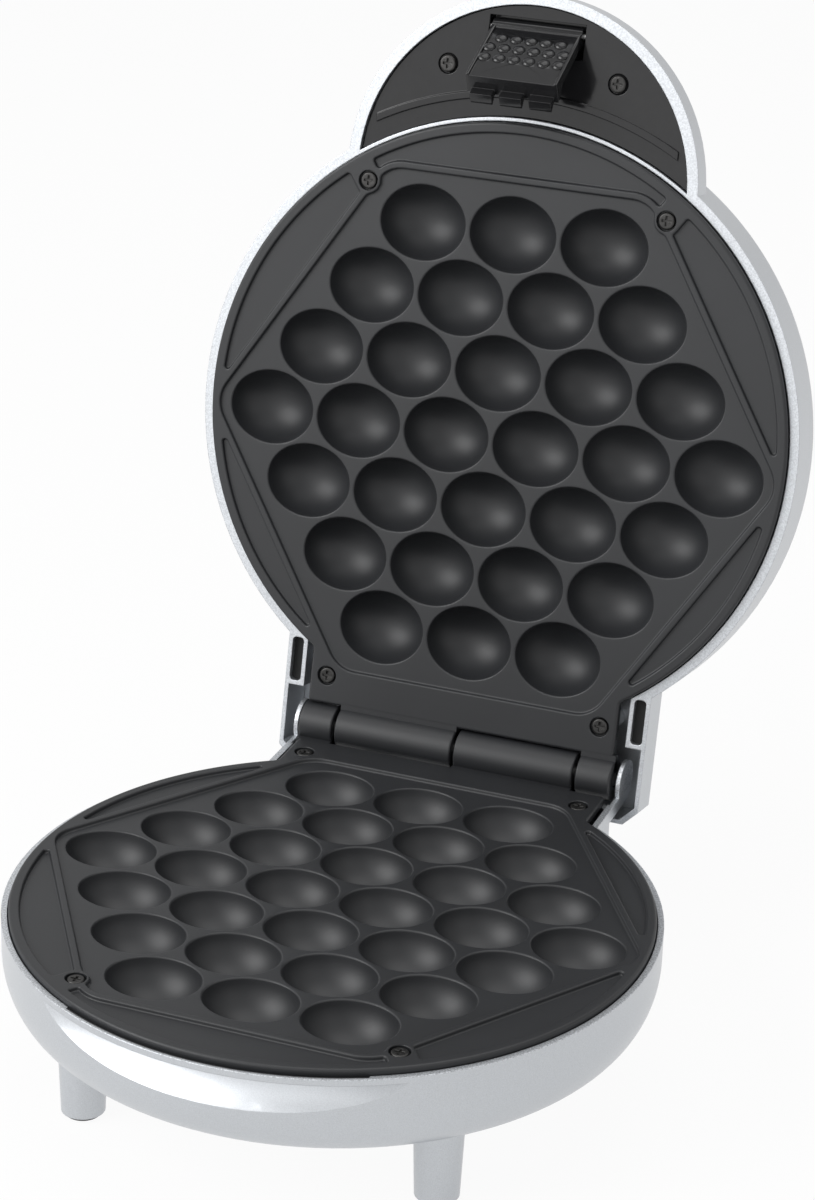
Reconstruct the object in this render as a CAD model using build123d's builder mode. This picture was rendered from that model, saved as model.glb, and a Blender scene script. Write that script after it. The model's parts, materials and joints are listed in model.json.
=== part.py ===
from build123d import *
import os
from math import acos, asin, atan2, cos, degrees, hypot, radians, sin, sqrt, tan

# Bubble waffle maker: two round cast plates with 30 oval cells each, in a silver base and a silver
# lid that opens on a hinge rod at the back, with a half-round handle lip and a latch at the front.
#
# Everything is modelled with the lid closed. X runs to the right, Y to the hinge and Z up.
# Z = 0 is the floor of the lower plate's cell field, and X = Y = 0 is the middle of its cells.
# At the end the lid swings open as in use, and the whole is set down on the origin.

# Cells and plates
CELL_PITCH = 33.0            # from cell to cell along a row
ROW_PITCH = 24.1             # from row to row
ROW_COUNTS = (3, 4, 5, 6, 5, 4, 3)
CELL_LONG = 15.6             # half length of a cell, along the row
CELL_SHORT = 13.05           # half width of a cell
CELL_DEPTH = 12.2
CELL_WALL = 1.7
FIELD_MARGIN_X = 5.9         # from the outermost cells to the side corners of the hexagonal field
FIELD_MARGIN_Y = 4.65        # from the first and last rows to the field's edge
FIELD_CORNER_CUT = 1.1       # its other corners lie this far inside the ends of those rows
FIELD_ROUND = 11.0
PLATE_BORDER = 1.3           # the round plate's edge outside the field's side corners
PLATE_CENTRE_Y = -5.0        # the round plates sit 5 mm forward of their cells
PLATE_RISE = 1.4             # border of the plate above its cell field
FIELD_THICK = 4.2            # plate under the cell field
BORDER_THICK = 1.6           # underside of the border below the cell field
PLATE_EDGE_ROUND = 0.9
PLATE_TAB_HALF = 57.5        # the tab between plate and hinge barrel
RIDGE = 2.5                  # between the hexagon and the pockets round it
POCKET_BORDER = 3.6          # from the pockets to the plate's edge
POCKET_ROUND = 1.0
POCKET_SCREW_CLEAR = 5.0     # round the middle of a screw
POCKET_LAND = 10.0           # width of the land from a front screw to the plate's edge

# Parting of lid and base, and hinge
PARTING_Z = 1.65
HALF_GAP = 0.25              # each plate stands this far off the parting plane
LID_OPEN = 101.6             # degrees
HINGE_BEHIND = 11.0          # hinge axis behind the plate's edge
HINGE_Z = 4.4
BARREL_RADIUS = 7.5
BARREL_REACH = 1.0           # of the barrel past the plate's tab at each end
KNUCKLE_SPLIT = 45.3         # between the long and the short knuckle of each side
KNUCKLE_GAP = 1.2
BARREL_CLEAR = 0.6           # from a plate's tab to the other plate's knuckles
ROD_RADIUS = 2.5
ROD_CHAMFER = 0.5
FIT_CLEAR = 0.05             # round a pin or a screw
HOLE_CLEAR = 0.2             # round a screw where it passes through

# Screws
SCREW_FRONT_OUT = (6.5, -5.7)   # beside and beyond the field's sharp front corner
SCREW_REAR_OUT = (3.8, 3.0)     # beside and beyond its sharp rear corner
HEAD_RADIUS = 2.9
HEAD_HEIGHT = 1.5
HEAD_ROUND = 0.65
SHANK_RADIUS = 1.5
SCREW_LENGTH = 12.0
CROSS_LENGTH = 3.4
CROSS_WIDTH = 0.8
CROSS_DEPTH = 0.8
SEAT_RADIUS = 3.5
BOSS_RADIUS = 3.5

# Base housing
PLATE_CLEAR = 0.4            # between a plate and the rim round it
BASE_RIM = 2.0               # width of the rim
BASE_RIM_Z = -0.7
BASE_WALL_Z = -12.0          # below here the wall rounds in
BASE_ROUND_IN = 13.0
BASE_BOTTOM_Z = -31.0
WALL = 2.2
BLOCK_MARGIN = 3.0           # rear block past the hinge barrel at each end
BLOCK_AHEAD = 6.9            # its rear face in front of the hinge axis
BLOCK_ROUND = 8.0
CHEEK_THICK = 1.5
CHEEK_RADIUS = 7.9
CHEEK_OFF = (3.7, -1.9)      # middle of the cheek's round from the hinge axis
LIP_THICK = 2.2              # front lip over the finger scoop
SCOOP_HALF = 61.0            # the scoop runs out into the wall here
SCOOP_INSET = 7.0
SCOOP_LOW_Z = -14.0
SCOOP_HOLLOW = 1.0
STRIP_EDGE = 1.0             # of the lip outside the strip
STRIP_HALF = 50.0
STRIP_DEPTH = 0.8
LEG_EDGE = 0.2               # from a front leg to where the bottom starts to round up
LEG_ANGLE = 45.0             # of the front legs from straight ahead
LEG_REAR_INSET = (17.5, 18.4)   # rear legs from the side and the rear of the block
LEG_TOP_RADIUS = 8.2
LEG_FOOT_RADIUS = 7.2
FLOOR_Z = -59.5
TIP_HEIGHT = 3.0
TIP_SHOWS = 1.5
TIP_RADIUS = 6.2
TIP_CHAMFER = 0.6
VENT_LENGTH = 26.0
VENT_WIDTH = 3.0
VENT_PITCH = 9.0
VENT_COUNT = 9

# Lid housing
LID_RIM = 3.3                # width of the rim
LID_RIM_UP = 2.95            # rim above the parting plane
LID_WALL_HEIGHT = 19.0
LID_ROUND_IN = 30.0
LID_SHOULDER_RISE = 14.0
LID_CROWN_RISE = 4.0
EAR_MARGIN = 6.5             # ear past the base's rear block
EAR_BEHIND = 15.5            # ear behind the hinge axis
EAR_HEIGHT = 18.2
EAR_WALL = 1.5
EAR_CHAMFER = 5.0
WINDOW_AHEAD = (29.8, 13.7)  # the ear's slot, its ends in front of the hinge axis
WINDOW_MARGIN = 0.7          # the slot's inner side outside the base's rear block
WINDOW_DEPTH = 12.0
WINDOW_ROUND = 1.5
GRIP_INSET = 23.0            # middle of the grip's round behind the lid's front
GRIP_RADIUS = 63.2
GRIP_RIM = 3.85
GRIP_HEIGHT = 14.5
GRIP_ROUND = 5.0
GRIP_RING = 1.2              # thin wall between the plate and the grip's liner

# Liner and latch
LINER_SUNK = 1.5
LINER_THICK = 2.5
LINER_CLEAR = 0.3
LINER_RIB = (7.8, 10.3)      # inner and outer side of the rib, outside the rim round the plate
LINER_RIB_HALF = 54.5
LINER_RIB_HEIGHT = 1.0
LINER_SCREW = (30.6, 36.3)   # beside and in front of the middle of the grip's round
LINER_SEAT = 0.75            # depth of the seats of the liner's screws
POCKET_CLEAR = 1.0           # round the latch's knuckle and beside the latch
POCKET_BEHIND = 8.0          # rear end of the pocket behind the latch's pin
POCKET_DEPTH = 6.0
POCKET_WALL = 2.2
PIN_RADIUS = 1.2
PIN_HOLD = 1.8               # of the pin in each wall of the pocket
PIN_AHEAD = 8.75             # from the grip's inner front to the pin
PIN_UP = 2.3                 # pin behind the liner's face
LATCH_HALF = 16.2
LATCH_THICK = 3.2
LATCH_KNUCKLE = 3.0
LATCH_REST = 36.0            # degrees from straight down, lid closed
LATCH_OUT = 10.0             # degrees that it swings out of the way
LATCH_EDGE = (1.2, 0.6)      # width and height of the ridges at the sides of its face
HOOK_REACH = 7.5
HOOK_BITE = 2.0              # how far the hook goes under the base's lip
HOOK_GAP = 0.5
HOOK_BLUNT = (0.4, 1.0)      # the hook's tip, along the latch and across it
TOOTH_COUNT = 3              # the hook ends in teeth that hang below the face
TOOTH_WIDTH = 8.0
TOOTH_PITCH = 10.5
TOOTH_LENGTH = 3.3
TOOTH_BACK = 5.0             # their front behind the face
BUMP_RADIUS = 2.0
BUMP_HEIGHT = 0.9
BUMP_TAPER = 35.0
BUMP_PITCH = 5.3
BUMP_START = 8.0             # first row of bumps from the pin
BUMP_ROW_PITCH = 5.4
BUMP_COUNTS = (5, 6, 6)      # from the first row down

# Heating
HEATER_RADIUS = 3.3
HEATER_RING = 62.0
HEATER_LEAD_X = 14.0
HEATER_BEND = 12.0
HEATER_CLEAR = 0.1
STUD_RADIUS = 1.4
STUD_LENGTH = 5.0
TAB_SIZE = (6.3, 9.0, 0.8)
TAB_START = 1.5              # of a terminal's tab, behind the heater's end
TAB_HOLE = 1.0
PAN_INSET = 3.5
PAN_SHEET = 0.8
PAN_GAP = 0.2                # pan under the heater
PAN_WALL = 13.0
PAN_NOTCH_CLEAR = 1.0        # beside the heater's leads
POST_RADIUS = 2.4
PAN_SCREW_RADIUS = 1.1
PAN_SCREW_HEAD = 2.2
PAN_SCREW_HEAD_HEIGHT = 1.2
PAN_SCREW_ROUND = 0.5
PAN_SCREW_LENGTH = 7.0
PAN_SCREW_CROSS = 2.8
THERMOSTAT_X = -34.0
THERMOSTAT_BEHIND = 5.4      # behind the cell field
THERMOSTAT_RADIUS = 6.3
THERMOSTAT_HEIGHT = 6.0
THERMOSTAT_ROUND = 1.2
THERMOSTAT_TAB_X = 4.5
THERMOSTAT_TAB_LENGTH = 7.0
FUSE_X = 36.0
FUSE_RADIUS = 2.0
FUSE_LENGTH = 12.0
FUSE_LEAD_RADIUS = 0.6
FUSE_LEAD_LENGTH = 4.0
TERMINAL_SIZE = (26.0, 9.0)  # width and depth of the terminal block
TERMINAL_BELOW = 0.7         # its top below the heater's ends
TERMINAL_BORE = 1.6
TERMINAL_PITCH = 8.1
GLAND_X = -32.0
GLAND_UP = 15.0              # above the bottom
GLAND_RADIUS = 5.0
GLAND_FLANGE = 6.6
GLAND_INNER = 5.7            # radius of its lip inside the wall
GLAND_BORE = 3.5
GLAND_LIP = 1.6

# Lamps in the lid
LENS_X = 11.0
LENS_AHEAD = 47.0            # in front of the middle of the plates
LENS_RADIUS = 4.5
LENS_FLANGE = 5.6
LENS_FLANGE_THICK = 1.0
LENS_PROUD = 0.8
LAMP_RADIUS = 2.2
LAMP_LENGTH = 9.0
HOLDER_MARGIN = 3.3          # of the lamp holder outside the lamps' middles
HOLDER_LENGTH = 7.0
HOLDER_THICK = 3.2
HOLDER_POST = 2.5
HOLDER_POST_CLEAR = 0.05

# Sizes that follow from the ones above
FIELD_HALF_X = (max(ROW_COUNTS) - 1) / 2 * CELL_PITCH + CELL_LONG + FIELD_MARGIN_X
FIELD_HALF_Y = (len(ROW_COUNTS) - 1) / 2 * ROW_PITCH + CELL_SHORT + FIELD_MARGIN_Y
FIELD_CORNER_X = (ROW_COUNTS[0] - 1) / 2 * CELL_PITCH + CELL_LONG - FIELD_CORNER_CUT
PLATE_RADIUS = FIELD_HALF_X + PLATE_BORDER
RIM_INNER = PLATE_RADIUS + PLATE_CLEAR
BASE_RADIUS = RIM_INNER + BASE_RIM
LID_RADIUS = RIM_INNER + LID_RIM
HINGE_Y = PLATE_CENTRE_Y + PLATE_RADIUS + HINGE_BEHIND
BARREL_HALF = PLATE_TAB_HALF + BARREL_REACH
BLOCK_HALF = BARREL_HALF + BLOCK_MARGIN
BLOCK_END_Y = HINGE_Y - BLOCK_AHEAD
EAR_HALF = BLOCK_HALF + EAR_MARGIN
EAR_END_Y = HINGE_Y + EAR_BEHIND
WINDOW_Y = (HINGE_Y - WINDOW_AHEAD[0], HINGE_Y - WINDOW_AHEAD[1])
WINDOW_INNER_X = BLOCK_HALF + WINDOW_MARGIN
GRIP_CENTRE_Y = PLATE_CENTRE_Y - LID_RADIUS + GRIP_INSET
LIP_UNDER_Z = BASE_RIM_Z - LIP_THICK
LID_RIM_Z = PARTING_Z + LID_RIM_UP
SPHEROID_Z = CELL_SHORT - CELL_DEPTH
BUMP_LOW_Z = -CELL_DEPTH - CELL_WALL
HEATER_Z = BUMP_LOW_Z - HEATER_CLEAR - HEATER_RADIUS
HEATER_END_Y = FIELD_HALF_Y
THERMOSTAT_Y = FIELD_HALF_Y + THERMOSTAT_BEHIND
PAN_TOP_Z = HEATER_Z - HEATER_RADIUS - PAN_GAP
TERMINAL_HEIGHT = HEATER_Z - HEATER_RADIUS - TERMINAL_BELOW - BASE_BOTTOM_Z - WALL
GLAND_Z = BASE_BOTTOM_Z + GLAND_UP
LENS_Y = PLATE_CENTRE_Y - LENS_AHEAD
TAB_END_Y = HINGE_Y - BARREL_RADIUS - BARREL_CLEAR
CENTRE = (0, PLATE_CENTRE_Y)
HINGE_AXIS = Axis((0, HINGE_Y, HINGE_Z), (1, 0, 0))
TURN_OVER = Axis((0, 0, PARTING_Z), (0, 1, 0))
CELL_POINTS = [
    ((k - (count - 1) / 2) * CELL_PITCH, (row - (len(ROW_COUNTS) - 1) / 2) * ROW_PITCH)
    for row, count in enumerate(ROW_COUNTS)
    for k in range(count)
]
SCREW_FRONT = (FIELD_CORNER_X + SCREW_FRONT_OUT[0], -FIELD_HALF_Y - SCREW_FRONT_OUT[1])
SCREW_REAR = (FIELD_CORNER_X + SCREW_REAR_OUT[0], FIELD_HALF_Y + SCREW_REAR_OUT[1])
PLATE_SCREWS = [(side * x, y) for x, y in (SCREW_FRONT, SCREW_REAR) for side in (-1, 1)]
POST_POINTS = [
    (0, -ROW_PITCH * 5 / 3),
    (-CELL_PITCH, ROW_PITCH / 3),
    (CELL_PITCH, ROW_PITCH / 3),
]


def upright(y=0.0):
    """Sketch plane across the object at this Y, with its own Y pointing up."""
    return Plane(origin=(0, y, 0), x_dir=(1, 0, 0), z_dir=(0, -1, 0))


def side_on(x=0.0):
    """Sketch plane seen from the right at this X: its X is the object's Y, its Y is up."""
    return Plane(origin=(x, 0, 0), x_dir=(0, 1, 0), z_dir=(1, 0, 0))


def hexagon(inset=0.0):
    """The rounded hexagon of the cell field, drawn smaller all round by inset."""
    with BuildSketch(mode=Mode.PRIVATE) as outline:
        Polygon(
            (FIELD_HALF_X, 0),
            (FIELD_CORNER_X, FIELD_HALF_Y),
            (-FIELD_CORNER_X, FIELD_HALF_Y),
            (-FIELD_HALF_X, 0),
            (-FIELD_CORNER_X, -FIELD_HALF_Y),
            (FIELD_CORNER_X, -FIELD_HALF_Y),
            align=None,
        )
        if inset:
            offset(amount=-inset, kind=Kind.INTERSECTION)
        fillet(outline.vertices(), FIELD_ROUND - inset)
    return outline.sketch


def disc_and_tab(radius, tab_half, tab_end):
    """Round outline with a straight-sided tab to the hinge, added to the sketch."""
    with Locations(CENTRE):
        Circle(radius)
        Rectangle(2 * tab_half, tab_end - PLATE_CENTRE_Y, align=(Align.CENTER, Align.MIN))


def rounded(sketch, radius):
    """The sketch with every outer corner rounded."""
    smaller = offset(sketch, amount=-radius, kind=Kind.INTERSECTION, mode=Mode.PRIVATE)
    return offset(smaller, amount=radius, kind=Kind.ARC, mode=Mode.PRIVATE)


def pockets():
    """The five shallow pockets between the hexagon and the plate's edge, as closed faces."""
    surround = hexagon(-RIDGE)
    with BuildSketch(mode=Mode.PRIVATE) as around:
        with Locations(CENTRE):
            Circle(PLATE_RADIUS - POCKET_BORDER)
        add(surround, mode=Mode.SUBTRACT)
        with Locations((0, SCREW_REAR[1])):
            Rectangle(2 * SCREW_REAR[0], 4 * POCKET_LAND, mode=Mode.SUBTRACT)
        with Locations(PLATE_SCREWS):
            Circle(POCKET_SCREW_CLEAR, mode=Mode.SUBTRACT)
        for side in (-1, 1):
            outward = degrees(atan2(SCREW_FRONT[1] - PLATE_CENTRE_Y, side * SCREW_FRONT[0]))
            with Locations(Location((side * SCREW_FRONT[0], SCREW_FRONT[1], 0), (0, 0, outward))):
                Rectangle(
                    4 * POCKET_LAND, POCKET_LAND, align=(Align.MIN, Align.CENTER), mode=Mode.SUBTRACT
                )
    return [rounded(pocket, POCKET_ROUND) for pocket in around.faces()]


def spheroid(long, short):
    """Egg-shaped solid about the X axis."""
    with BuildPart(mode=Mode.PRIVATE) as egg:
        with BuildSketch():
            with BuildLine():
                EllipticalCenterArc((0, 0), long, short, 0, arc_size=180)
                Line((-long, 0), (long, 0))
            make_face()
        revolve(axis=Axis.X)
    return egg.part


def cross_screw(head_radius, head_height, head_round, cross_length, shank_radius, length):
    """Pan-head screw with a cross recess, its head's top at Z = 0, pointing down."""
    with BuildPart(mode=Mode.PRIVATE) as screw:
        with Locations((0, 0, -head_height)):
            Cylinder(head_radius, head_height, align=(Align.CENTER, Align.CENTER, Align.MIN))
            fillet(screw.edges().sort_by(Axis.Z)[-1], head_round)
            Cylinder(shank_radius, length, align=(Align.CENTER, Align.CENTER, Align.MAX))
        for turn in (0, 90):
            with Locations(Location((0, 0, 0), (0, 0, turn))):
                Box(cross_length, CROSS_WIDTH, 2 * CROSS_DEPTH, mode=Mode.SUBTRACT)
    return screw.part


# Cooking plate casting, without its knuckles: the same for both halves
plate_bump = split(
    Pos(0, 0, SPHEROID_Z) * spheroid(CELL_LONG + CELL_WALL, CELL_SHORT + CELL_WALL),
    bisect_by=Plane.XY.offset(-FIELD_THICK / 2),
    keep=Keep.BOTTOM,
)
plate_hollow = Pos(0, 0, SPHEROID_Z) * spheroid(CELL_LONG, CELL_SHORT)
field = hexagon()
field_plate = hexagon(RIDGE / 2)
pocket_shapes = pockets()
with BuildPart() as casting:
    with BuildSketch(Plane.XY.offset(-BORDER_THICK)):
        disc_and_tab(PLATE_RADIUS, PLATE_TAB_HALF, TAB_END_Y)
    extrude(amount=BORDER_THICK + PLATE_RISE)
    fillet(casting.edges().group_by(Axis.Z)[-1], PLATE_EDGE_ROUND)
    with BuildSketch(Plane.XY.offset(-FIELD_THICK)):
        add(field_plate)
    extrude(amount=FIELD_THICK)
    with Locations([(x, y, 0) for x, y in POST_POINTS]):
        Cylinder(POST_RADIUS, -PAN_TOP_Z, align=(Align.CENTER, Align.CENTER, Align.MAX))
    with Locations([(x, y, 0) for x, y in CELL_POINTS]):
        add(plate_bump)
    with BuildSketch():
        add(field)
    extrude(amount=2 * PLATE_RISE, mode=Mode.SUBTRACT)
    with BuildSketch():
        add(pocket_shapes)
    extrude(amount=2 * PLATE_RISE, mode=Mode.SUBTRACT)
    with Locations([(x, y, 0) for x, y in CELL_POINTS]):
        add(plate_hollow, mode=Mode.SUBTRACT)
    with Locations([(x, y, PLATE_RISE) for x, y in PLATE_SCREWS]):
        CounterBoreHole(
            SHANK_RADIUS + HOLE_CLEAR,
            SEAT_RADIUS,
            HEAD_HEIGHT + HALF_GAP,
            FIELD_THICK + 2 * PLATE_RISE,
        )
    with Locations([(x, y, PAN_TOP_Z) for x, y in POST_POINTS]):
        Cylinder(
            PAN_SCREW_RADIUS + FIT_CLEAR,
            PAN_SCREW_LENGTH,
            align=(Align.CENTER, Align.CENTER, Align.MIN),
            mode=Mode.SUBTRACT,
        )


def knuckles(spans, web_low, web_high):
    """Hinge knuckles over these spans of X with their webs to the plate's tab."""
    with BuildPart(mode=Mode.PRIVATE) as barrel:
        for left, right in spans:
            with BuildSketch(side_on(left)):
                with Locations((HINGE_Y, HINGE_Z)):
                    Circle(BARREL_RADIUS)
                with Locations((TAB_END_Y - BARREL_CLEAR, web_low)):
                    Rectangle(
                        HINGE_Y - TAB_END_Y, web_high - web_low, align=(Align.MIN, Align.MIN)
                    )
                with Locations((HINGE_Y, HINGE_Z)):
                    Circle(ROD_RADIUS + FIT_CLEAR, mode=Mode.SUBTRACT)
            extrude(amount=right - left)
    return barrel.part


HALF_SPLIT = KNUCKLE_GAP / 2
base_knuckles = knuckles(
    ((-BARREL_HALF, -KNUCKLE_SPLIT - HALF_SPLIT), (HALF_SPLIT, KNUCKLE_SPLIT - HALF_SPLIT)),
    -BORDER_THICK,
    PLATE_RISE,
)
lid_knuckles = knuckles(
    ((-KNUCKLE_SPLIT + HALF_SPLIT, -HALF_SPLIT), (KNUCKLE_SPLIT + HALF_SPLIT, BARREL_HALF)),
    2 * PARTING_Z - PLATE_RISE,
    2 * PARTING_Z + BORDER_THICK,
)
with BuildPart() as base_plate:
    add(casting.part)
    add(base_knuckles)

with BuildPart() as lid_plate:
    add(casting.part.rotate(TURN_OVER, 180))
    add(lid_knuckles)

with BuildPart() as hinge_rod:
    with BuildSketch(side_on(-BARREL_HALF)):
        with Locations((HINGE_Y, HINGE_Z)):
            Circle(ROD_RADIUS)
    extrude(amount=2 * BARREL_HALF)
    chamfer(hinge_rod.edges().filter_by(GeomType.CIRCLE), ROD_CHAMFER)

# Screws that hold the plates: seated in the plates, cut into the bosses of the housings
plate_screw = cross_screw(
    HEAD_RADIUS, HEAD_HEIGHT, HEAD_ROUND, CROSS_LENGTH, SHANK_RADIUS, SCREW_LENGTH
)
with BuildPart() as base_plate_screws:
    with Locations([(x, y, PLATE_RISE - HALF_GAP) for x, y in PLATE_SCREWS]):
        add(plate_screw)

with BuildPart() as lid_plate_screws:
    add(base_plate_screws.part.rotate(TURN_OVER, 180))

# Heating element: a ring under the cells with two leads to the back
ring_angle = asin((HEATER_LEAD_X + HEATER_BEND) / (HEATER_RING + HEATER_BEND))
bend_y = (HEATER_RING + HEATER_BEND) * cos(ring_angle)
with BuildPart() as base_heater:
    with BuildLine(Plane.XY.offset(HEATER_Z)) as heater_path:
        lead_in = Line((HEATER_LEAD_X, HEATER_END_Y), (HEATER_LEAD_X, bend_y))
        bend_in = JernArc(lead_in @ 1, lead_in % 1, HEATER_BEND, 90 - degrees(ring_angle))
        ring = JernArc(bend_in @ 1, bend_in % 1, HEATER_RING, -(360 - 2 * degrees(ring_angle)))
        bend_out = JernArc(ring @ 1, ring % 1, HEATER_BEND, 90 - degrees(ring_angle))
        Line(bend_out @ 1, (-HEATER_LEAD_X, HEATER_END_Y))
    with BuildSketch(Plane(origin=(HEATER_LEAD_X, HEATER_END_Y, HEATER_Z), z_dir=(0, -1, 0))):
        Circle(HEATER_RADIUS)
    sweep(path=heater_path.line)

with BuildPart() as base_heater_terminals:
    for side in (-1, 1):
        with BuildSketch(upright(HEATER_END_Y)):
            with Locations((side * HEATER_LEAD_X, HEATER_Z)):
                Circle(STUD_RADIUS)
        extrude(amount=-STUD_LENGTH)
        with Locations((side * HEATER_LEAD_X, HEATER_END_Y + TAB_START, HEATER_Z)):
            Box(*TAB_SIZE, align=(Align.CENTER, Align.MIN, Align.CENTER))
    with Locations([(side * HEATER_LEAD_X, HEATER_END_Y + TAB_SIZE[1], HEATER_Z) for side in (-1, 1)]):
        Cylinder(TAB_HOLE, 4 * TAB_SIZE[2], mode=Mode.SUBTRACT)

# Reflector pan: hexagonal, under the heater, on three posts of the plate
pan_outside = hexagon(PAN_INSET)
pan_inside = hexagon(PAN_INSET + PAN_SHEET)
with BuildPart() as base_reflector:
    with BuildSketch(Plane.XY.offset(PAN_TOP_Z - PAN_SHEET)):
        add(pan_outside)
    extrude(amount=PAN_WALL)
    with BuildSketch(Plane.XY.offset(PAN_TOP_Z)):
        add(pan_inside)
    extrude(amount=PAN_WALL, mode=Mode.SUBTRACT)
    for side in (-1, 1):
        with Locations((side * HEATER_LEAD_X, FIELD_HALF_Y, PAN_TOP_Z)):
            Box(
                2 * (HEATER_RADIUS + PAN_NOTCH_CLEAR),
                4 * (PAN_INSET + PAN_SHEET),
                PAN_WALL,
                align=(Align.CENTER, Align.CENTER, Align.MIN),
                mode=Mode.SUBTRACT,
            )
    with Locations([(x, y, PAN_TOP_Z) for x, y in POST_POINTS]):
        Cylinder(PAN_SCREW_RADIUS + HOLE_CLEAR, 4 * PAN_SHEET, mode=Mode.SUBTRACT)

pan_screw = cross_screw(
    PAN_SCREW_HEAD,
    PAN_SCREW_HEAD_HEIGHT,
    PAN_SCREW_ROUND,
    PAN_SCREW_CROSS,
    PAN_SCREW_RADIUS,
    PAN_SCREW_LENGTH - PAN_SHEET,
)
with BuildPart() as base_reflector_screws:
    with Locations(
        [(x, y, PAN_TOP_Z - PAN_SHEET - PAN_SCREW_HEAD_HEIGHT) for x, y in POST_POINTS]
    ):
        add(pan_screw, rotation=(180, 0, 0))

with BuildPart() as lid_heater:
    add(base_heater.part.rotate(TURN_OVER, 180))
with BuildPart() as lid_heater_terminals:
    add(base_heater_terminals.part.rotate(TURN_OVER, 180))
with BuildPart() as lid_reflector:
    add(base_reflector.part.rotate(TURN_OVER, 180))
with BuildPart() as lid_reflector_screws:
    add(base_reflector_screws.part.rotate(TURN_OVER, 180))

# Thermostats and fuse: clamped to the underside of the plate's tab
with BuildPart() as base_thermostat:
    with Locations((THERMOSTAT_X, THERMOSTAT_Y, -BORDER_THICK)):
        Cylinder(THERMOSTAT_RADIUS, THERMOSTAT_HEIGHT, align=(Align.CENTER, Align.CENTER, Align.MAX))
        fillet(base_thermostat.edges().sort_by(Axis.Z)[0], THERMOSTAT_ROUND)
    for side in (-1, 1):
        with Locations(
            (THERMOSTAT_X + side * THERMOSTAT_TAB_X, THERMOSTAT_Y, -BORDER_THICK - THERMOSTAT_HEIGHT)
        ):
            Box(
                TAB_SIZE[2],
                TAB_SIZE[0],
                THERMOSTAT_TAB_LENGTH,
                align=(Align.CENTER, Align.CENTER, Align.MAX),
            )
with BuildPart() as lid_thermostat:
    add(base_thermostat.part.rotate(TURN_OVER, 180))

with BuildPart() as thermal_fuse:
    with BuildSketch(side_on(FUSE_X - FUSE_LENGTH / 2)):
        with Locations((THERMOSTAT_Y, -BORDER_THICK - FUSE_RADIUS)):
            Circle(FUSE_RADIUS)
    extrude(amount=FUSE_LENGTH)
    with BuildSketch(side_on(FUSE_X - FUSE_LENGTH / 2 - FUSE_LEAD_LENGTH)):
        with Locations((THERMOSTAT_Y, -BORDER_THICK - FUSE_RADIUS)):
            Circle(FUSE_LEAD_RADIUS)
    extrude(amount=FUSE_LENGTH + 2 * FUSE_LEAD_LENGTH)


# Base housing: bowl with rear block, hinge cheeks, front lip, finger scoop and four legs
def bowl(radius, rim_z, wall_z, round_in, end_z, crown=0.0):
    """Round shell body about the plate's centre: a straight wall, a quarter ellipse and an end."""
    with BuildPart(mode=Mode.PRIVATE) as body:
        with BuildSketch(upright(PLATE_CENTRE_Y)):
            with BuildLine():
                wall = Line((radius, rim_z), (radius, wall_z))
                middle = (radius - round_in, wall_z)
                if end_z < wall_z:
                    corner = EllipticalCenterArc(middle, round_in, wall_z - end_z, 270, arc_size=90)
                    inner_end = corner @ 0
                else:
                    corner = EllipticalCenterArc(middle, round_in, end_z - wall_z, 0, arc_size=90)
                    inner_end = corner @ 1
                if crown:
                    crown_radius = (inner_end.X**2 + crown**2) / (2 * crown)
                    crown_arc = CenterArc(
                        (0, end_z + crown - crown_radius),
                        crown_radius,
                        degrees(acos(inner_end.X / crown_radius)),
                        90 - degrees(acos(inner_end.X / crown_radius)),
                    )
                    Polyline(crown_arc @ 1, (0, rim_z), wall @ 0)
                else:
                    Polyline(inner_end, (0, end_z), (0, rim_z), wall @ 0)
            make_face()
        revolve(axis=Axis((0, PLATE_CENTRE_Y, 0), (0, 0, 1)))
    return body.part


wall_front_y = PLATE_CENTRE_Y - BASE_RADIUS
run_out_y = PLATE_CENTRE_Y - sqrt(BASE_RADIUS**2 - SCOOP_HALF**2)
scoop_depth = run_out_y - (wall_front_y + SCOOP_INSET)
SCOOP_RADIUS = (SCOOP_HALF**2 + scoop_depth**2) / (2 * scoop_depth)
SCOOP_CENTRE_Y = wall_front_y + SCOOP_INSET + SCOOP_RADIUS


def scoop(behind=0.0):
    """All in front of the scoop's hollow face, or of the wall that backs it up by behind."""
    start = (SCOOP_RADIUS - behind, LIP_UNDER_Z)
    end = (SCOOP_RADIUS + SCOOP_INSET, SCOOP_LOW_Z - behind)
    span = hypot(end[0] - start[0], end[1] - start[1])
    middle = (
        (start[0] + end[0]) / 2 + SCOOP_HOLLOW * (end[1] - start[1]) / span,
        (start[1] + end[1]) / 2 - SCOOP_HOLLOW * (end[0] - start[0]) / span,
    )
    far = SCOOP_RADIUS + BASE_RADIUS / 2
    with BuildPart(mode=Mode.PRIVATE) as hollow:
        with BuildSketch(upright(SCOOP_CENTRE_Y)):
            with BuildLine():
                ThreePointArc(start, middle, end)
                Polyline(end, (far, end[1]), (far, LIP_UNDER_Z), start)
            make_face()
            if behind:
                with Locations(start):
                    Rectangle(
                        far - start[0], -BORDER_THICK - LIP_UNDER_Z, align=(Align.MIN, Align.MIN)
                    )
        revolve(axis=Axis((0, SCOOP_CENTRE_Y, 0), (0, 0, 1)))
    return hollow.part


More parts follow.
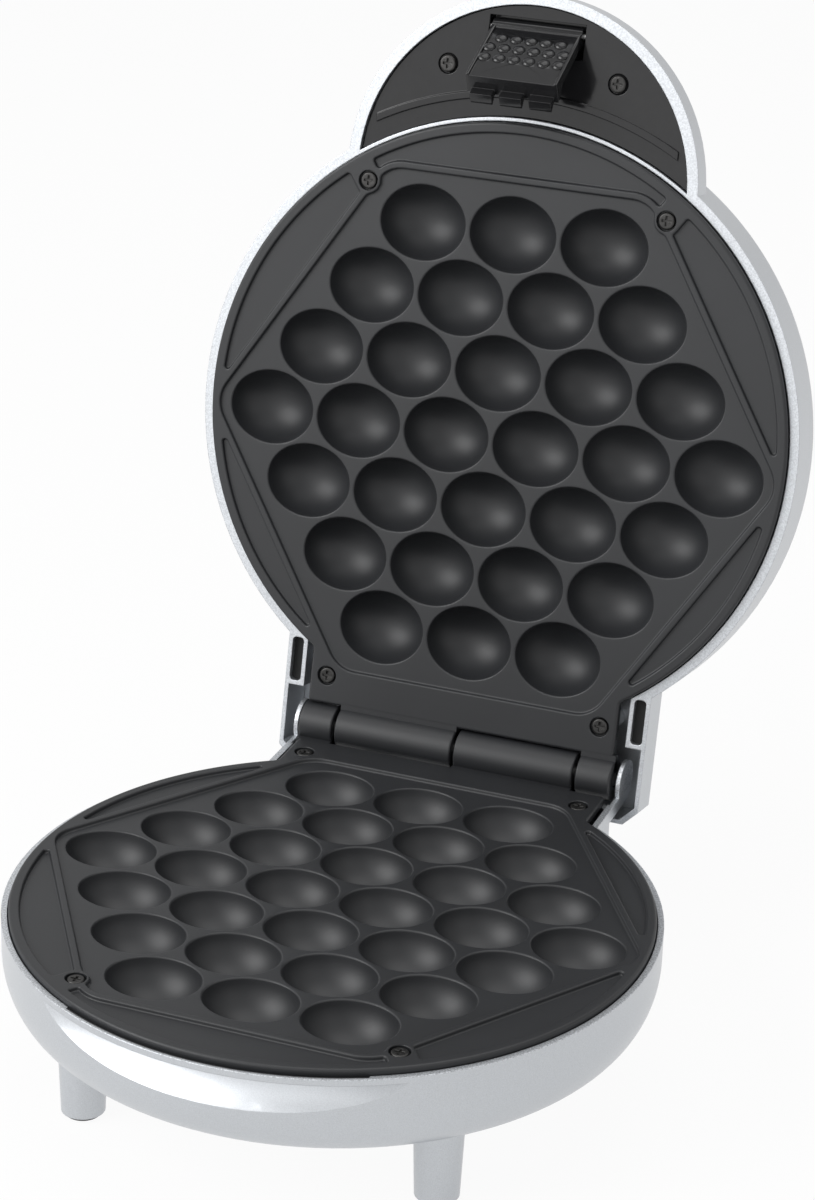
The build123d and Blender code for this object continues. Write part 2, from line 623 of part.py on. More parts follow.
leg_ring = BASE_RADIUS - BASE_ROUND_IN - LEG_TOP_RADIUS - LEG_EDGE
LEG_FRONT = (
    leg_ring * sin(radians(LEG_ANGLE)),
    PLATE_CENTRE_Y - leg_ring * cos(radians(LEG_ANGLE)),
)
LEG_REAR = (BLOCK_HALF - LEG_REAR_INSET[0], BLOCK_END_Y - LEG_REAR_INSET[1])
LEG_POINTS = [(side * x, y) for x, y in (LEG_FRONT, LEG_REAR) for side in (-1, 1)]
LEG_END_Z = FLOOR_Z + TIP_SHOWS

scoop_hollow = scoop()
scoop_wall = scoop(behind=WALL)
base_shell = bowl(BASE_RADIUS, BASE_RIM_Z, BASE_WALL_Z, BASE_ROUND_IN, BASE_BOTTOM_Z)
base_hollow = bowl(
    RIM_INNER, PARTING_Z, BASE_WALL_Z, BASE_ROUND_IN - BASE_RIM, BASE_BOTTOM_Z + WALL
)
with BuildPart() as block_cavity:
    with BuildSketch(Plane.XY.offset(BASE_BOTTOM_Z + WALL)):
        Rectangle(2 * (BLOCK_HALF - WALL), BLOCK_END_Y - WALL, align=(Align.CENTER, Align.MIN))
    extrude(amount=PARTING_Z - BASE_BOTTOM_Z - WALL)
    lowest = block_cavity.edges().group_by(Axis.Z)[0]
    fillet(lowest.filter_by(Axis.X).sort_by(Axis.Y)[-1], BLOCK_ROUND - WALL)
    lowest = block_cavity.edges().group_by(Axis.Z)[0]
    fillet(lowest.filter_by(Axis.Y), BLOCK_ROUND - WALL)

with BuildPart() as base_cavity:
    add(base_hollow)
    add(block_cavity.part)
    with Locations((0, 0, -BORDER_THICK)):
        Box(
            2 * (BLOCK_HALF - WALL),
            BLOCK_END_Y + WALL,
            BORDER_THICK + PARTING_Z,
            align=(Align.CENTER, Align.MIN, Align.MIN),
        )
    add(scoop_wall, mode=Mode.SUBTRACT)
    with Locations([(x, y, -BORDER_THICK) for x, y in PLATE_SCREWS]):
        Cylinder(
            BOSS_RADIUS,
            -BASE_BOTTOM_Z,
            align=(Align.CENTER, Align.CENTER, Align.MAX),
            mode=Mode.SUBTRACT,
        )

with BuildPart() as base_block:
    with BuildSketch(Plane.XY.offset(BASE_BOTTOM_Z)):
        Rectangle(2 * BLOCK_HALF, BLOCK_END_Y, align=(Align.CENTER, Align.MIN))
    extrude(amount=BASE_RIM_Z - BASE_BOTTOM_Z)
    lowest = base_block.edges().group_by(Axis.Z)[0]
    fillet(lowest.filter_by(Axis.X).sort_by(Axis.Y)[-1], BLOCK_ROUND)
    lowest = base_block.edges().group_by(Axis.Z)[0]
    fillet(lowest.filter_by(Axis.Y), BLOCK_ROUND)

with BuildPart() as base_housing:
    add(base_shell)
    add(base_block.part)
    for side in (-1, 1):
        with BuildSketch(side_on(side * (BLOCK_HALF - CHEEK_THICK / 2) - CHEEK_THICK / 2)):
            with Locations((HINGE_Y + CHEEK_OFF[0], HINGE_Z + CHEEK_OFF[1])):
                Circle(CHEEK_RADIUS)
            with Locations((BLOCK_END_Y - BLOCK_ROUND, HINGE_Z + CHEEK_OFF[1] - CHEEK_RADIUS)):
                Rectangle(
                    HINGE_Y + CHEEK_OFF[0] - BLOCK_END_Y + BLOCK_ROUND,
                    BASE_RIM_Z - HINGE_Z - CHEEK_OFF[1] + CHEEK_RADIUS,
                    align=(Align.MIN, Align.MIN),
                )
        extrude(amount=CHEEK_THICK)
    add(scoop_hollow, mode=Mode.SUBTRACT)
    with Locations([(x, y, LEG_END_Z) for x, y in LEG_POINTS]):
        Cone(
            LEG_FOOT_RADIUS,
            LEG_TOP_RADIUS,
            BASE_BOTTOM_Z + WALL / 2 - LEG_END_Z,
            align=(Align.CENTER, Align.CENTER, Align.MIN),
        )
    add(base_cavity.part, mode=Mode.SUBTRACT)
    with Locations([(x, y, LEG_END_Z) for x, y in LEG_POINTS]):
        Cylinder(
            TIP_RADIUS + FIT_CLEAR,
            TIP_HEIGHT - TIP_SHOWS,
            align=(Align.CENTER, Align.CENTER, Align.MIN),
            mode=Mode.SUBTRACT,
        )
    with Locations([(x, y, -BORDER_THICK) for x, y in PLATE_SCREWS]):
        Cylinder(
            SHANK_RADIUS + FIT_CLEAR,
            SCREW_LENGTH + BORDER_THICK,
            align=(Align.CENTER, Align.CENTER, Align.MAX),
            mode=Mode.SUBTRACT,
        )
    with BuildSketch(Plane.XY.offset(BASE_RIM_Z - STRIP_DEPTH)):
        with Locations(CENTRE):
            Circle(BASE_RADIUS - STRIP_EDGE)
            Circle(RIM_INNER - STRIP_EDGE, mode=Mode.SUBTRACT)
            Rectangle(
                2 * STRIP_HALF, BASE_RADIUS, align=(Align.CENTER, Align.MAX), mode=Mode.INTERSECT
            )
    extrude(amount=2 * STRIP_DEPTH, mode=Mode.SUBTRACT)
    with BuildSketch(Plane.XY.offset(BASE_BOTTOM_Z)):
        with GridLocations(VENT_PITCH, 2 * VENT_LENGTH, VENT_COUNT, 2):
            SlotOverall(VENT_LENGTH, VENT_WIDTH, rotation=90)
    extrude(amount=WALL, mode=Mode.SUBTRACT)
    with BuildSketch(upright(BLOCK_END_Y)):
        with Locations((GLAND_X, GLAND_Z)):
            Circle(GLAND_RADIUS + FIT_CLEAR)
    extrude(amount=WALL, mode=Mode.SUBTRACT)

with BuildPart() as front_strip:
    with BuildSketch(Plane.XY.offset(BASE_RIM_Z - STRIP_DEPTH)):
        with Locations(CENTRE):
            Circle(BASE_RADIUS - STRIP_EDGE - FIT_CLEAR)
            Circle(RIM_INNER, mode=Mode.SUBTRACT)
            Rectangle(
                2 * (STRIP_HALF - FIT_CLEAR),
                BASE_RADIUS,
                align=(Align.CENTER, Align.MAX),
                mode=Mode.INTERSECT,
            )
    extrude(amount=STRIP_DEPTH)

with BuildPart() as leg_tips:
    with Locations([(x, y, FLOOR_Z) for x, y in LEG_POINTS]):
        Cylinder(TIP_RADIUS, TIP_HEIGHT, align=(Align.CENTER, Align.CENTER, Align.MIN))
    chamfer(leg_tips.edges().group_by(Axis.Z)[0], TIP_CHAMFER)

with BuildPart() as cord_gland:
    with BuildSketch(upright(BLOCK_END_Y + GLAND_LIP)):
        with Locations((GLAND_X, GLAND_Z)):
            Circle(GLAND_FLANGE)
    extrude(amount=GLAND_LIP)
    with BuildSketch(upright(BLOCK_END_Y)):
        with Locations((GLAND_X, GLAND_Z)):
            Circle(GLAND_RADIUS)
    extrude(amount=WALL)
    with BuildSketch(upright(BLOCK_END_Y - WALL)):
        with Locations((GLAND_X, GLAND_Z)):
            Circle(GLAND_INNER)
    extrude(amount=GLAND_LIP)
    with BuildSketch(upright(BLOCK_END_Y + GLAND_LIP)):
        with Locations((GLAND_X, GLAND_Z)):
            Circle(GLAND_BORE)
    extrude(amount=WALL + 2 * GLAND_LIP, mode=Mode.SUBTRACT)

with BuildPart() as terminal_block:
    with Locations((0, BLOCK_END_Y - BLOCK_ROUND - TERMINAL_SIZE[1] / 2, BASE_BOTTOM_Z + WALL)):
        Box(*TERMINAL_SIZE, TERMINAL_HEIGHT, align=(Align.CENTER, Align.CENTER, Align.MIN))
        for k in (-1, 0, 1):
            with Locations((k * TERMINAL_PITCH, 0, TERMINAL_HEIGHT / 2)):
                Cylinder(TERMINAL_BORE, TERMINAL_SIZE[1], rotation=(90, 0, 0), mode=Mode.SUBTRACT)

# Lid housing: dome with hinge ears at the back and the half-round grip at the front
LID_WALL_Z = LID_RIM_Z + LID_WALL_HEIGHT
LID_SHOULDER_Z = LID_WALL_Z + LID_SHOULDER_RISE
EAR_TOP_Z = LID_RIM_Z + EAR_HEIGHT
GRIP_TOP_Z = LID_RIM_Z + GRIP_HEIGHT
LINER_Z = LID_RIM_Z + LINER_SUNK
LINER_BACK_Z = LINER_Z + LINER_THICK
LID_UNDER_Z = 2 * PARTING_Z + BORDER_THICK
LINER_POINTS = [(side * LINER_SCREW[0], GRIP_CENTRE_Y - LINER_SCREW[1]) for side in (-1, 1)]
GRIP_INNER = GRIP_RADIUS - GRIP_RIM
crown_flat = LID_RADIUS - LID_ROUND_IN
CROWN_RADIUS = (crown_flat**2 + LID_CROWN_RISE**2) / (2 * LID_CROWN_RISE)
lens_from_axis = hypot(LENS_X, LENS_Y - PLATE_CENTRE_Y)


def crown_z(from_axis):
    """Height of the lid's outer crown at this distance from its middle."""
    rise = CROWN_RADIUS - sqrt(CROWN_RADIUS**2 - from_axis**2)
    return LID_SHOULDER_Z + LID_CROWN_RISE - rise


lid_shell = bowl(
    LID_RADIUS, LID_RIM_Z, LID_WALL_Z, LID_ROUND_IN, LID_SHOULDER_Z, LID_CROWN_RISE
)
lid_hollow = bowl(
    RIM_INNER,
    PARTING_Z,
    LID_WALL_Z,
    LID_ROUND_IN - LID_RIM,
    LID_SHOULDER_Z - WALL,
    LID_CROWN_RISE,
)
with BuildPart() as lid_cavity:
    add(lid_hollow)
    with Locations((0, 0, PARTING_Z)):
        Box(
            2 * (WINDOW_INNER_X - EAR_WALL),
            EAR_END_Y - EAR_WALL,
            LID_RIM_UP + EAR_HEIGHT - EAR_WALL,
            align=(Align.CENTER, Align.MIN, Align.MIN),
        )
    with Locations((0, WINDOW_Y[1] + EAR_WALL, PARTING_Z)):
        Box(
            2 * (EAR_HALF - EAR_WALL),
            EAR_END_Y - WINDOW_Y[1] - 2 * EAR_WALL,
            LID_RIM_UP + EAR_HEIGHT - EAR_WALL,
            align=(Align.CENTER, Align.MIN, Align.MIN),
        )
        chamfer(
            lid_cavity.edges().filter_by(Axis.Z).group_by(Axis.Y)[-1],
            EAR_CHAMFER,
        )
    with Locations([(x, y, LID_UNDER_Z) for x, y in PLATE_SCREWS]):
        Cylinder(
            BOSS_RADIUS,
            LID_SHOULDER_Z,
            align=(Align.CENTER, Align.CENTER, Align.MIN),
            mode=Mode.SUBTRACT,
        )

with BuildPart() as grip_cavity:
    with BuildSketch(Plane.XY.offset(PARTING_Z)):
        with Locations((0, GRIP_CENTRE_Y)):
            Circle(GRIP_INNER)
        with Locations(CENTRE):
            Circle(RIM_INNER + GRIP_RING, mode=Mode.SUBTRACT)
    extrude(amount=LID_RIM_UP + GRIP_HEIGHT - WALL)
    with Locations([(x, y, LINER_BACK_Z) for x, y in LINER_POINTS]):
        Cylinder(
            BOSS_RADIUS,
            GRIP_HEIGHT,
            align=(Align.CENTER, Align.CENTER, Align.MIN),
            mode=Mode.SUBTRACT,
        )

with BuildPart() as ear_block:
    with BuildSketch(Plane.XY.offset(LID_RIM_Z)):
        Rectangle(2 * EAR_HALF, EAR_END_Y, align=(Align.CENTER, Align.MIN))
    extrude(amount=EAR_HEIGHT)
    chamfer(ear_block.edges().filter_by(Axis.Z).group_by(Axis.Y)[-1], EAR_CHAMFER)
    fillet(ear_block.edges().group_by(Axis.Z)[-1].group_by(Axis.Y)[1:], GRIP_ROUND)

with BuildPart() as grip_block:
    with BuildSketch(Plane.XY.offset(LID_RIM_Z)):
        with Locations((0, GRIP_CENTRE_Y)):
            Circle(GRIP_RADIUS)
    extrude(amount=GRIP_HEIGHT)
    fillet(grip_block.edges().group_by(Axis.Z)[-1], GRIP_ROUND)

with BuildPart() as lid_housing:
    add(lid_shell)
    add(ear_block.part)
    add(grip_block.part)
    add(lid_cavity.part, mode=Mode.SUBTRACT)
    add(grip_cavity.part, mode=Mode.SUBTRACT)
    with BuildSketch(Plane.XY.offset(LID_RIM_Z)):
        for side in (-1, 1):
            with Locations(
                (side * (WINDOW_INNER_X + EAR_HALF - EAR_WALL) / 2, (WINDOW_Y[0] + WINDOW_Y[1]) / 2)
            ):
                RectangleRounded(
                    EAR_HALF - EAR_WALL - WINDOW_INNER_X, WINDOW_Y[1] - WINDOW_Y[0], WINDOW_ROUND
                )
    extrude(amount=WINDOW_DEPTH, mode=Mode.SUBTRACT)
    with Locations([(x, y, LID_UNDER_Z) for x, y in PLATE_SCREWS]):
        Cylinder(
            SHANK_RADIUS + FIT_CLEAR,
            SCREW_LENGTH,
            align=(Align.CENTER, Align.CENTER, Align.MIN),
            mode=Mode.SUBTRACT,
        )
    with Locations([(x, y, LINER_BACK_Z) for x, y in LINER_POINTS]):
        Cylinder(
            SHANK_RADIUS + FIT_CLEAR,
            SCREW_LENGTH - LINER_THICK,
            align=(Align.CENTER, Align.CENTER, Align.MIN),
            mode=Mode.SUBTRACT,
        )
    with Locations([(side * LENS_X, LENS_Y, LID_SHOULDER_Z) for side in (-1, 1)]):
        Cylinder(LENS_RADIUS + FIT_CLEAR, 4 * WALL + LID_CROWN_RISE, mode=Mode.SUBTRACT)

# Liner of the grip, with the latch pocket, and its two screws
LATCH_Y = GRIP_CENTRE_Y - GRIP_INNER + PIN_AHEAD
LATCH_Z = LINER_Z + PIN_UP
POCKET_HALF = LATCH_HALF + POCKET_CLEAR
POCKET_FRONT_Y = LATCH_Y - LATCH_KNUCKLE - POCKET_CLEAR
POCKET_REAR_Y = LATCH_Y + POCKET_BEHIND
LINER_RADIUS = GRIP_INNER - LINER_CLEAR
with BuildPart() as handle_liner:
    with BuildSketch(Plane.XY.offset(LINER_Z)):
        with Locations((0, GRIP_CENTRE_Y)):
            Circle(LINER_RADIUS)
        with Locations(CENTRE):
            Circle(RIM_INNER + GRIP_RING + LINER_CLEAR, mode=Mode.SUBTRACT)
    extrude(amount=LINER_THICK)
    with BuildSketch(Plane.XY.offset(LINER_Z - LINER_RIB_HEIGHT)):
        with Locations(CENTRE):
            Circle(RIM_INNER + LINER_RIB[1])
            Circle(RIM_INNER + LINER_RIB[0], mode=Mode.SUBTRACT)
            Rectangle(
                2 * LINER_RIB_HALF,
                RIM_INNER + LINER_RIB[1],
                align=(Align.CENTER, Align.MAX),
                mode=Mode.INTERSECT,
            )
    extrude(amount=LINER_RIB_HEIGHT)
    with BuildSketch(Plane.XY.offset(LINER_Z)):
        with Locations((0, POCKET_REAR_Y + POCKET_WALL)):
            Rectangle(
                2 * (POCKET_HALF + POCKET_WALL), GRIP_RADIUS, align=(Align.CENTER, Align.MAX)
            )
        with Locations((0, GRIP_CENTRE_Y)):
            Circle(LINER_RADIUS, mode=Mode.INTERSECT)
    extrude(amount=POCKET_DEPTH + POCKET_WALL)
    with BuildSketch(Plane.XY.offset(LINER_Z)):
        with Locations((0, POCKET_REAR_Y)):
            Rectangle(
                2 * POCKET_HALF, POCKET_REAR_Y - POCKET_FRONT_Y, align=(Align.CENTER, Align.MAX)
            )
        with Locations((0, GRIP_CENTRE_Y)):
            Circle(LINER_RADIUS - EAR_WALL, mode=Mode.INTERSECT)
    extrude(amount=POCKET_DEPTH, mode=Mode.SUBTRACT)
    with BuildSketch(side_on(-POCKET_HALF - PIN_HOLD - FIT_CLEAR)):
        with Locations((LATCH_Y, LATCH_Z)):
            Circle(PIN_RADIUS + FIT_CLEAR)
    extrude(amount=2 * (POCKET_HALF + PIN_HOLD + FIT_CLEAR), mode=Mode.SUBTRACT)
    with Locations([(x, y, LINER_Z) for x, y in LINER_POINTS]):
        Cylinder(
            SEAT_RADIUS,
            LINER_SEAT,
            align=(Align.CENTER, Align.CENTER, Align.MIN),
            mode=Mode.SUBTRACT,
        )
        Cylinder(
            SHANK_RADIUS + HOLE_CLEAR,
            LINER_THICK,
            align=(Align.CENTER, Align.CENTER, Align.MIN),
            mode=Mode.SUBTRACT,
        )

liner_screw = cross_screw(
    HEAD_RADIUS, HEAD_HEIGHT, HEAD_ROUND, CROSS_LENGTH, SHANK_RADIUS, SCREW_LENGTH - LINER_THICK
)
with BuildPart() as handle_liner_screws:
    with Locations([(x, y, LINER_Z + LINER_SEAT - HEAD_HEIGHT) for x, y in LINER_POINTS]):
        add(liner_screw, rotation=(180, 0, 0))

# Lamps: a lens through the crown, a lamp under it and a holder for both lamps
lens_top_z = crown_z(lens_from_axis) + LENS_PROUD
lens_flange_z = crown_z(lens_from_axis + LENS_FLANGE) - WALL


def lens(side):
    """Round lamp window with a flange inside the shell."""
    with BuildPart(mode=Mode.PRIVATE) as window:
        with Locations((side * LENS_X, LENS_Y, lens_flange_z)):
            Cylinder(
                LENS_RADIUS,
                lens_top_z - lens_flange_z,
                align=(Align.CENTER, Align.CENTER, Align.MIN),
            )
            fillet(window.edges().sort_by(Axis.Z)[-1], LENS_PROUD)
            Cylinder(
                LENS_FLANGE, LENS_FLANGE_THICK, align=(Align.CENTER, Align.CENTER, Align.MAX)
            )
    return window.part


left_lens = lens(-1)
right_lens = lens(1)
with BuildPart() as power_lens:
    add(left_lens)
with BuildPart() as ready_lens:
    add(right_lens)

LAMP_Z = lens_flange_z - LENS_FLANGE_THICK - FIT_CLEAR - LAMP_RADIUS
post_from_axis = hypot(HOLDER_POST, LENS_AHEAD + HOLDER_POST)
with BuildPart() as indicator_lamps:
    with BuildSketch(upright(LENS_Y + LAMP_LENGTH / 2)):
        with Locations((-LENS_X, LAMP_Z), (LENS_X, LAMP_Z)):
            Circle(LAMP_RADIUS)
    extrude(amount=LAMP_LENGTH)

with BuildPart() as lamp_holder:
    with Locations((0, LENS_Y, LAMP_Z)):
        Box(
            2 * (LENS_X + HOLDER_MARGIN),
            HOLDER_LENGTH,
            HOLDER_THICK,
            align=(Align.CENTER, Align.CENTER, Align.MAX),
        )
        Cylinder(
            HOLDER_POST,
            crown_z(post_from_axis) - WALL - HOLDER_POST_CLEAR - LAMP_Z,
            align=(Align.CENTER, Align.CENTER, Align.MIN),
        )
    with BuildSketch(upright(LENS_Y + LAMP_LENGTH / 2)):
        with Locations((-LENS_X, LAMP_Z), (LENS_X, LAMP_Z)):
            Circle(LAMP_RADIUS + FIT_CLEAR)
    extrude(amount=LAMP_LENGTH, mode=Mode.SUBTRACT)

# Latch: lever with grip bumps and hook, turned on a pin in the liner's pocket.
# Its sketch plane has X along the lever from the pin and Y towards the base.
hook_tip_y = wall_front_y + HOOK_BITE
hook_tip_z = LIP_UNDER_Z - HOOK_GAP
tip_distance = hypot(hook_tip_y - LATCH_Y, LATCH_Z - hook_tip_z)
HOOK_TIP = sqrt(tip_distance**2 - HOOK_REACH**2)
LATCH_CLOSED = degrees(
    atan2(hook_tip_y - LATCH_Y, LATCH_Z - hook_tip_z) - atan2(HOOK_REACH, HOOK_TIP)
)
HOOK_START = HOOK_TIP - (HOOK_REACH - LATCH_THICK / 2) * tan(radians(LATCH_CLOSED))
LATCH_LENGTH = HOOK_TIP + HOOK_BLUNT[0]
FACE_END = LATCH_LENGTH - TOOTH_LENGTH


def latch_plane(x):
    """Sketch plane of the lever at this X, lever at rest."""
    turn = radians(LATCH_REST)
    return Plane(origin=(x, LATCH_Y, LATCH_Z), x_dir=(0, sin(turn), -cos(turn)), z_dir=(1, 0, 0))


tooth_sides = [
    (k - (TOOTH_COUNT - 1) / 2) * TOOTH_PITCH + side * TOOTH_WIDTH / 2
    for k in range(TOOTH_COUNT)
    for side in (-1, 1)
]
tooth_gaps = [-LATCH_HALF] + tooth_sides + [LATCH_HALF]
with BuildPart() as latch:
    with BuildSketch(latch_plane(-LATCH_HALF)):
        with BuildLine():
            Polyline(
                (0, -LATCH_THICK / 2),
                (FACE_END, -LATCH_THICK / 2),
                (FACE_END, TOOTH_BACK - LATCH_THICK / 2),
                (LATCH_LENGTH, TOOTH_BACK - LATCH_THICK / 2),
                (LATCH_LENGTH, HOOK_REACH - HOOK_BLUNT[1]),
                (HOOK_TIP, HOOK_REACH),
                (HOOK_START, LATCH_THICK / 2),
                (0, LATCH_THICK / 2),
                close=True,
            )
        make_face()
        Circle(LATCH_KNUCKLE)
        Circle(PIN_RADIUS + FIT_CLEAR, mode=Mode.SUBTRACT)
    extrude(amount=2 * LATCH_HALF)
    for left, right in zip(tooth_gaps[::2], tooth_gaps[1::2]):
        with BuildSketch(latch_plane(left)):
            with Locations((FACE_END, 0)):
                Rectangle(2 * TOOTH_LENGTH, 2 * HOOK_REACH, align=(Align.MIN, Align.CENTER))
        extrude(amount=right - left, mode=Mode.SUBTRACT)
    for left in (-LATCH_HALF, LATCH_HALF - LATCH_EDGE[0]):
        with BuildSketch(latch_plane(left)):
            with Locations((0, -LATCH_THICK / 2)):
                Rectangle(FACE_END, LATCH_EDGE[1], align=(Align.MIN, Align.MAX))
        extrude(amount=LATCH_EDGE[0])
    face_plane = Plane(
        origin=latch_plane(0).from_local_coords((0, -LATCH_THICK / 2, 0)),
        x_dir=(1, 0, 0),
        z_dir=(0, -cos(radians(LATCH_REST)), -sin(radians(LATCH_REST))),
    )
    for row, count in enumerate(BUMP_COUNTS):
        with BuildSketch(face_plane):
            with Locations((0, -BUMP_START - row * BUMP_ROW_PITCH)):
                with GridLocations(BUMP_PITCH, BUMP_PITCH, count, 1):
                    Circle(BUMP_RADIUS)
        extrude(amount=BUMP_HEIGHT, taper=BUMP_TAPER)

with BuildPart() as latch_pin:
    with BuildSketch(side_on(-POCKET_HALF - PIN_HOLD)):
        with Locations((LATCH_Y, LATCH_Z)):
            Circle(PIN_RADIUS)
    extrude(amount=2 * (POCKET_HALF + PIN_HOLD))

# Bodies: what stands still, what swings with the lid, and the latch on the lid
base_pieces = {
    "base_housing": base_housing,
    "base_plate": base_plate,
    "base_plate_screws": base_plate_screws,
    "base_heater": base_heater,
    "base_heater_terminals": base_heater_terminals,
    "base_reflector": base_reflector,
    "base_reflector_screws": base_reflector_screws,
    "base_thermostat": base_thermostat,
    "thermal_fuse": thermal_fuse,
    "terminal_block": terminal_block,
    "cord_gland": cord_gland,
    "front_strip": front_strip,
    "leg_tips": leg_tips,
    "hinge_rod": hinge_rod,
}
lid_pieces = {
    "lid_housing": lid_housing,
    "lid_plate": lid_plate,
    "lid_plate_screws": lid_plate_screws,
    "lid_heater": lid_heater,
    "lid_heater_terminals": lid_heater_terminals,
    "lid_reflector": lid_reflector,
    "lid_reflector_screws": lid_reflector_screws,
    "lid_thermostat": lid_thermostat,
    "handle_liner": handle_liner,
    "handle_liner_screws": handle_liner_screws,
    "power_lens": power_lens,
    "ready_lens": ready_lens,
    "indicator_lamps": indicator_lamps,
    "lamp_holder": lamp_holder,
    "latch_pin": latch_pin,
    "latch": latch,
}

# Open the lid as in use and stand the whole on the origin, bottom centre of its box
for piece in lid_pieces.values():
    piece.part = piece.part.rotate(HINGE_AXIS, -LID_OPEN)
pieces = base_pieces | lid_pieces
boxes = [piece.part.bounding_box(optimal=True) for piece in pieces.values()]
low = [min(getattr(box.min, axis) for box in boxes) for axis in "XYZ"]
high = [max(getattr(box.max, axis) for box in boxes) for axis in "XYZ"]
SHIFT = (-(low[0] + high[0]) / 2, -(low[1] + high[1]) / 2, -low[2])

os.makedirs("parts", exist_ok=True)
for name, piece in pieces.items():
    piece.part = piece.part.translate(SHIFT)
    piece.part.label = name
    export_step(piece.part, f"parts/{name}.step")
print("size", [round(b - a, 2) for a, b in zip(low, high)])
print("moved by", [round(value, 4) for value in SHIFT])
print("latch turns in by", round(LATCH_CLOSED - LATCH_REST, 3), "degrees")
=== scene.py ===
import json
import math

import bmesh
import bpy
import numpy as np
from mathutils import Matrix, Vector
from mathutils.geometry import delaunay_2d_cdt


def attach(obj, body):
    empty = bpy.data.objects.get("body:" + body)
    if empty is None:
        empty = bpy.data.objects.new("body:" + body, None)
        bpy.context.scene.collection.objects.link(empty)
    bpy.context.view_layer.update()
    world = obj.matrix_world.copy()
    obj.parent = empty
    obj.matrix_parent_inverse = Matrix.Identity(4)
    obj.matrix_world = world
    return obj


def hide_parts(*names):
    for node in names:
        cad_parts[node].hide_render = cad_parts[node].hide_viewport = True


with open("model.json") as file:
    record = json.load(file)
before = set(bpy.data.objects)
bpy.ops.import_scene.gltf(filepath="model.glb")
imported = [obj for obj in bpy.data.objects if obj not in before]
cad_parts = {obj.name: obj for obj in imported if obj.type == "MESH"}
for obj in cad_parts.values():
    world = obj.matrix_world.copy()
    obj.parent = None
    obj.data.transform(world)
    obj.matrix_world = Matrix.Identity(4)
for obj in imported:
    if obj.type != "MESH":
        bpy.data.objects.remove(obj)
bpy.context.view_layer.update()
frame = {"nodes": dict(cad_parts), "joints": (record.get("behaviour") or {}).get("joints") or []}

# Camera
# The photograph is taken from the front right and above, on a long lens. The camera and every piece
# are placed in mm on the closed appliance, from the middle of the lower cell field, with Z up.
MM = 0.001
HINGE = np.array((0.0, 111.3, 4.4))
PHOTO_HEIGHT_PIXELS, PHOTO_FOCAL_PIXELS = 1200, 3377.0
SENSOR_WIDTH = 36.0
CAMERA_AT = np.array((358.1, -907.2, 528.2))
CAMERA_AZIMUTH = math.radians(20.41)
CAMERA_ELEVATION = math.radians(23.38)
CAMERA_ROLL = math.radians(1.80)
CAMERA_CLIP_END = 20.0
hinge_joint = next(joint for joint in frame["joints"] if joint["name"] == "lid_hinge")


def in_base(points):
    """Closed place to the frame's metres: the hinge line falls on the hinge joint."""
    return (points - HINGE) * MM + np.array(hinge_joint["pos_m"])


camera = bpy.data.objects.new("camera", bpy.data.cameras.new("camera"))
bpy.context.scene.collection.objects.link(camera)
bpy.context.scene.camera = camera
camera.data.sensor_width = SENSOR_WIDTH
camera.data.lens = SENSOR_WIDTH * PHOTO_FOCAL_PIXELS / PHOTO_HEIGHT_PIXELS
camera.data.clip_end = CAMERA_CLIP_END
camera.location = in_base(CAMERA_AT)
view_matrix = (
    Matrix.Rotation(CAMERA_AZIMUTH, 3, "Z")
    @ Matrix.Rotation(math.pi / 2 - CAMERA_ELEVATION, 3, "X")
    @ Matrix.Rotation(CAMERA_ROLL, 3, "Z")
)
camera.rotation_euler = view_matrix.to_euler()

# Cooking plates
# Two aluminium castings with a sprayed dark non-stick coat. Each has a hexagonal field of 30 egg
# shaped cells, five shallow pockets round it, four screw seats and a tab to the hinge barrel.
CELL_PITCH, ROW_PITCH = 33.0, 24.1
ROW_COUNTS = (3, 4, 5, 6, 5, 4, 3)
CELL_LONG, CELL_SHORT, CELL_DEPTH = 15.6, 13.05, 12.2
CELL_LIP = 0.65
LIP_STEPS = 4
CELL_ROWS, CELL_SIDES = 15, 56
CELL_WALL = 1.7
UNDER_ROWS, UNDER_SIDES = 8, 48
PLATE_CENTRE = np.array((0.0, -5.0))
PLATE_RADIUS = 105.3
PLATE_RISE = 1.4
PLATE_EDGE_ROUND, PLATE_EDGE_REACH = 0.9, 1.2
FIELD_UNDER, BORDER_UNDER = -4.2, -1.6
FIELD_HALF, FIELD_TOP_HALF, FIELD_TOP = 104.0, 47.5, 90.0
FIELD_ROUND = 11.0
FIELD_SPACING, POCKET_SPACING = 1.2, 6.0
TAB_HALF, TAB_END = 57.5, 103.2
TAB_JUNCTION_ROUND, TAB_CORNER_ROUND = 2.0, 0.8
RIDGE = 2.5
STEP_FOOT, STEP_TOP, STEP_ROUND = -0.1, 0.15, 0.6
FIELD_STEP_IN, FIELD_STEP_OUT, FIELD_FOOT_ROUND = 1.1, 1.0, 0.6
POCKET_STEP, POCKET_FOOT_ROUND = 0.8, 0.5
POCKET_EDGE = PLATE_RADIUS - 3.6
POCKET_ROUND = 1.0
SCREW_CLEAR = 5.0
MIRRORED = np.array((-1, 1))
FRONT_SCREW, REAR_SCREW = np.array((54.0, -84.3)), np.array((51.3, 93.0))
PLATE_SCREWS = (FRONT_SCREW, FRONT_SCREW * MIRRORED, REAR_SCREW, REAR_SCREW * MIRRORED)
SEAT_RADIUS, SEAT_DEPTH, SEAT_EDGE, SEAT_SIDES = 3.5, 1.75, 0.3, 32
SEAT_RING, SEAT_BOW = 4.5, 8
FINE_TURN, COARSE_DEGREES = 0.3, 15
NEWTON_STEPS = 12
COAT_COLOUR, COAT_SPREAD = (0.015, 0.016, 0.018), 0.5
COAT_SMOOTHEST, SPRAY_ROUGHENS, PATCH_ROUGHENS = 0.41, 0.10, 0.04
SPRAY_SIZE, PATCH_SIZE = 0.55, 38.0
